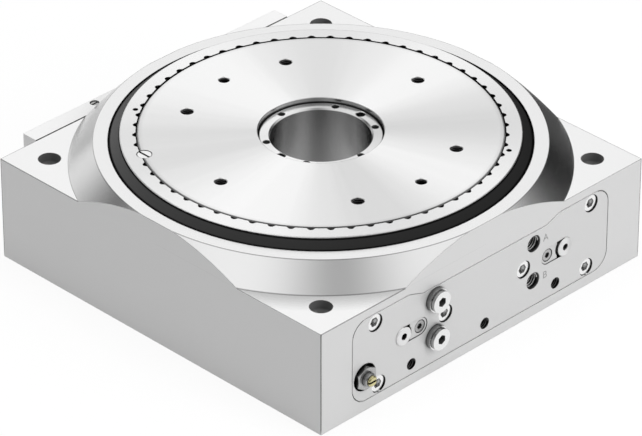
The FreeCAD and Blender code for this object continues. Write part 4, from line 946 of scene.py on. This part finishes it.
def add_port_letters():
    """The letters A and B beside the air ports."""
    for letter, height in LETTER_HEIGHTS.items():
        deselect()
        bpy.ops.object.text_add()
        text = bpy.context.object
        text.data.body = letter
        text.data.size = LETTER_SIZE
        text.data.align_x = "CENTER"
        text.data.align_y = "CENTER"
        text.data.extrude = LETTER_RAISE
        text.data.offset = -LETTER_THINNING
        bpy.ops.object.convert(target="MESH")
        piece = bpy.context.object
        settle(piece, TO_FRONT, (LETTER_X, COVER_FACE_Y - 0.03 * MM, height))
        finish_piece(piece, "port_letter_" + letter.lower(), "housing_body", ink)


def add_floor():
    """White to the camera, with dark zones to the right and at the back that only reflections show."""
    deselect()
    bpy.ops.mesh.primitive_plane_add(size=FLOOR_SIDE, location=(0.0, 0.0, FLOOR_Z))
    floor = bpy.context.object
    floor.name = "floor"
    material = bpy.data.materials.new("pale floor")
    material.use_nodes = True
    tree = new_tree(material.node_tree)
    out = add_node(tree, "ShaderNodeOutputMaterial")
    matt = add_node(tree, "ShaderNodeBsdfDiffuse")
    white = add_node(tree, "ShaderNodeEmission")
    light_path = add_node(tree, "ShaderNodeLightPath")
    matt_tone = plus(tree, times(tree, light_path.outputs["Is Camera Ray"], 0.4), 0.55)
    join(tree, matt_tone, matt.inputs["Color"])
    x, y = object_axes(tree)[:2]
    right_zone = fade(tree, x, *RIGHT_ZONE_X)
    rear_zone = times(tree, fade(tree, y, *REAR_ZONE_Y), REAR_ZONE_SHADE)
    behind = above(tree, plus(tree, x, y), BEHIND_TABLE)
    dark = times(tree, larger(tree, right_zone, rear_zone), behind)
    dark = times(tree, dark, light_path.outputs["Is Glossy Ray"])
    join(tree, minus(tree, 1.0, times(tree, dark, 0.99)), white.inputs["Strength"])
    seen = plus(tree, light_path.outputs["Is Camera Ray"], light_path.outputs["Is Glossy Ray"], clamp=True)
    seen = plus(tree, seen, light_path.outputs["Is Transmission Ray"], clamp=True)
    mix = add_node(tree, "ShaderNodeMixShader")
    join(tree, times(tree, seen, 0.9), mix.inputs[0])
    join(tree, matt.outputs[0], mix.inputs[1])
    join(tree, white.outputs[0], mix.inputs[2])
    join(tree, mix.outputs[0], out.inputs["Surface"])
    floor.data.materials.append(material)


def light_by_height(tree, height, stops):
    """Brightness between stops of height and light."""
    ramp = add_node(tree, "ShaderNodeValToRGB")
    elements = ramp.color_ramp.elements
    elements.remove(elements[1])
    elements[0].position = stops[0][0]
    elements[0].color = (stops[0][1],) * 3 + (1.0,)
    for at, light in stops[1:]:
        elements.new(at).color = (light, light, light, 1.0)
    join(tree, height, ramp.inputs[0])
    return ramp.outputs[0]


def add_world():
    """Studio surroundings: a bright board low on the left, a dark one low on the right, soft light above.

    The camera sees plain white, and diffuse light is weaker than what the metal reflects.
    """
    world = bpy.data.worlds.new("studio")
    bpy.context.scene.world = world
    world.use_nodes = True
    tree = new_tree(world.node_tree)
    out = add_node(tree, "ShaderNodeOutputWorld")
    back = add_node(tree, "ShaderNodeBackground")
    join(tree, back.outputs[0], out.inputs["Surface"])
    direction = add_node(tree, "ShaderNodeTexCoord").outputs["Generated"]
    axes = add_node(tree, "ShaderNodeSeparateXYZ")
    join(tree, direction, axes.inputs[0])
    height = axes.outputs["Z"]
    left = left_of(tree, axes.outputs["X"], axes.outputs["Y"])
    front = front_of(tree, axes.outputs["X"], axes.outputs["Y"])
    light_path = add_node(tree, "ShaderNodeLightPath")
    sharp = minus(tree, 1.0, light_path.outputs["Is Diffuse Ray"])
    boards = light_by_height(tree, height, SKY_AWAY)
    for stops, low, high in BOARDS:
        mix = add_node(tree, "ShaderNodeMix", data_type="RGBA")
        join(tree, times(tree, fade(tree, left, low, high), sharp), mix.inputs["Factor"])
        join(tree, boards, mix.inputs[6])
        join(tree, light_by_height(tree, height, stops), mix.inputs[7])
        boards = mix.outputs[2]
    off = divided(tree, minus(tree, left, OPENING_LEFT), OPENING_WIDTH)
    bell = calculate(tree, "EXPONENT", times(tree, times(tree, off, off), -1.0))
    opening = times(tree, times(tree, bell, fade(tree, front, 0.0, 0.2)), OPENING_SHADE)
    lit = add_node(tree, "ShaderNodeVectorMath", operation="SCALE")
    join(tree, boards, lit.inputs[0])
    shaded = times(tree, light_path.outputs["Is Diffuse Ray"], DIFFUSE_SHADE)
    join(tree, minus(tree, minus(tree, 1.0, opening), shaded), lit.inputs["Scale"])
    white = add_node(tree, "ShaderNodeMix", data_type="RGBA")
    join(tree, light_path.outputs["Is Camera Ray"], white.inputs["Factor"])
    join(tree, lit.outputs[0], white.inputs[6])
    white.inputs[7].default_value = (1.0, 1.0, 1.0, 1.0)
    join(tree, white.outputs[2], back.inputs["Color"])


def add_lamp(name, place, side, watts):
    """A square lamp that aims at the table and is not mirrored in it."""
    lamp = bpy.data.objects.new(name, bpy.data.lights.new(name, "AREA"))
    bpy.context.scene.collection.objects.link(lamp)
    lamp.data.shape = "SQUARE"
    lamp.data.size = side
    lamp.data.energy = watts
    lamp.visible_glossy = False
    lamp.location = place
    lamp.rotation_euler = turn_towards(place, LAMP_TARGET)


add_camera()
dress_nodes()
add_threads()
add_port_letters()
add_floor()
add_world()
for lamp_name, lamp_place, lamp_side, watts in LAMPS:
    add_lamp(lamp_name, lamp_place, lamp_side, watts)

bpy.context.scene.view_settings.view_transform = "Standard"
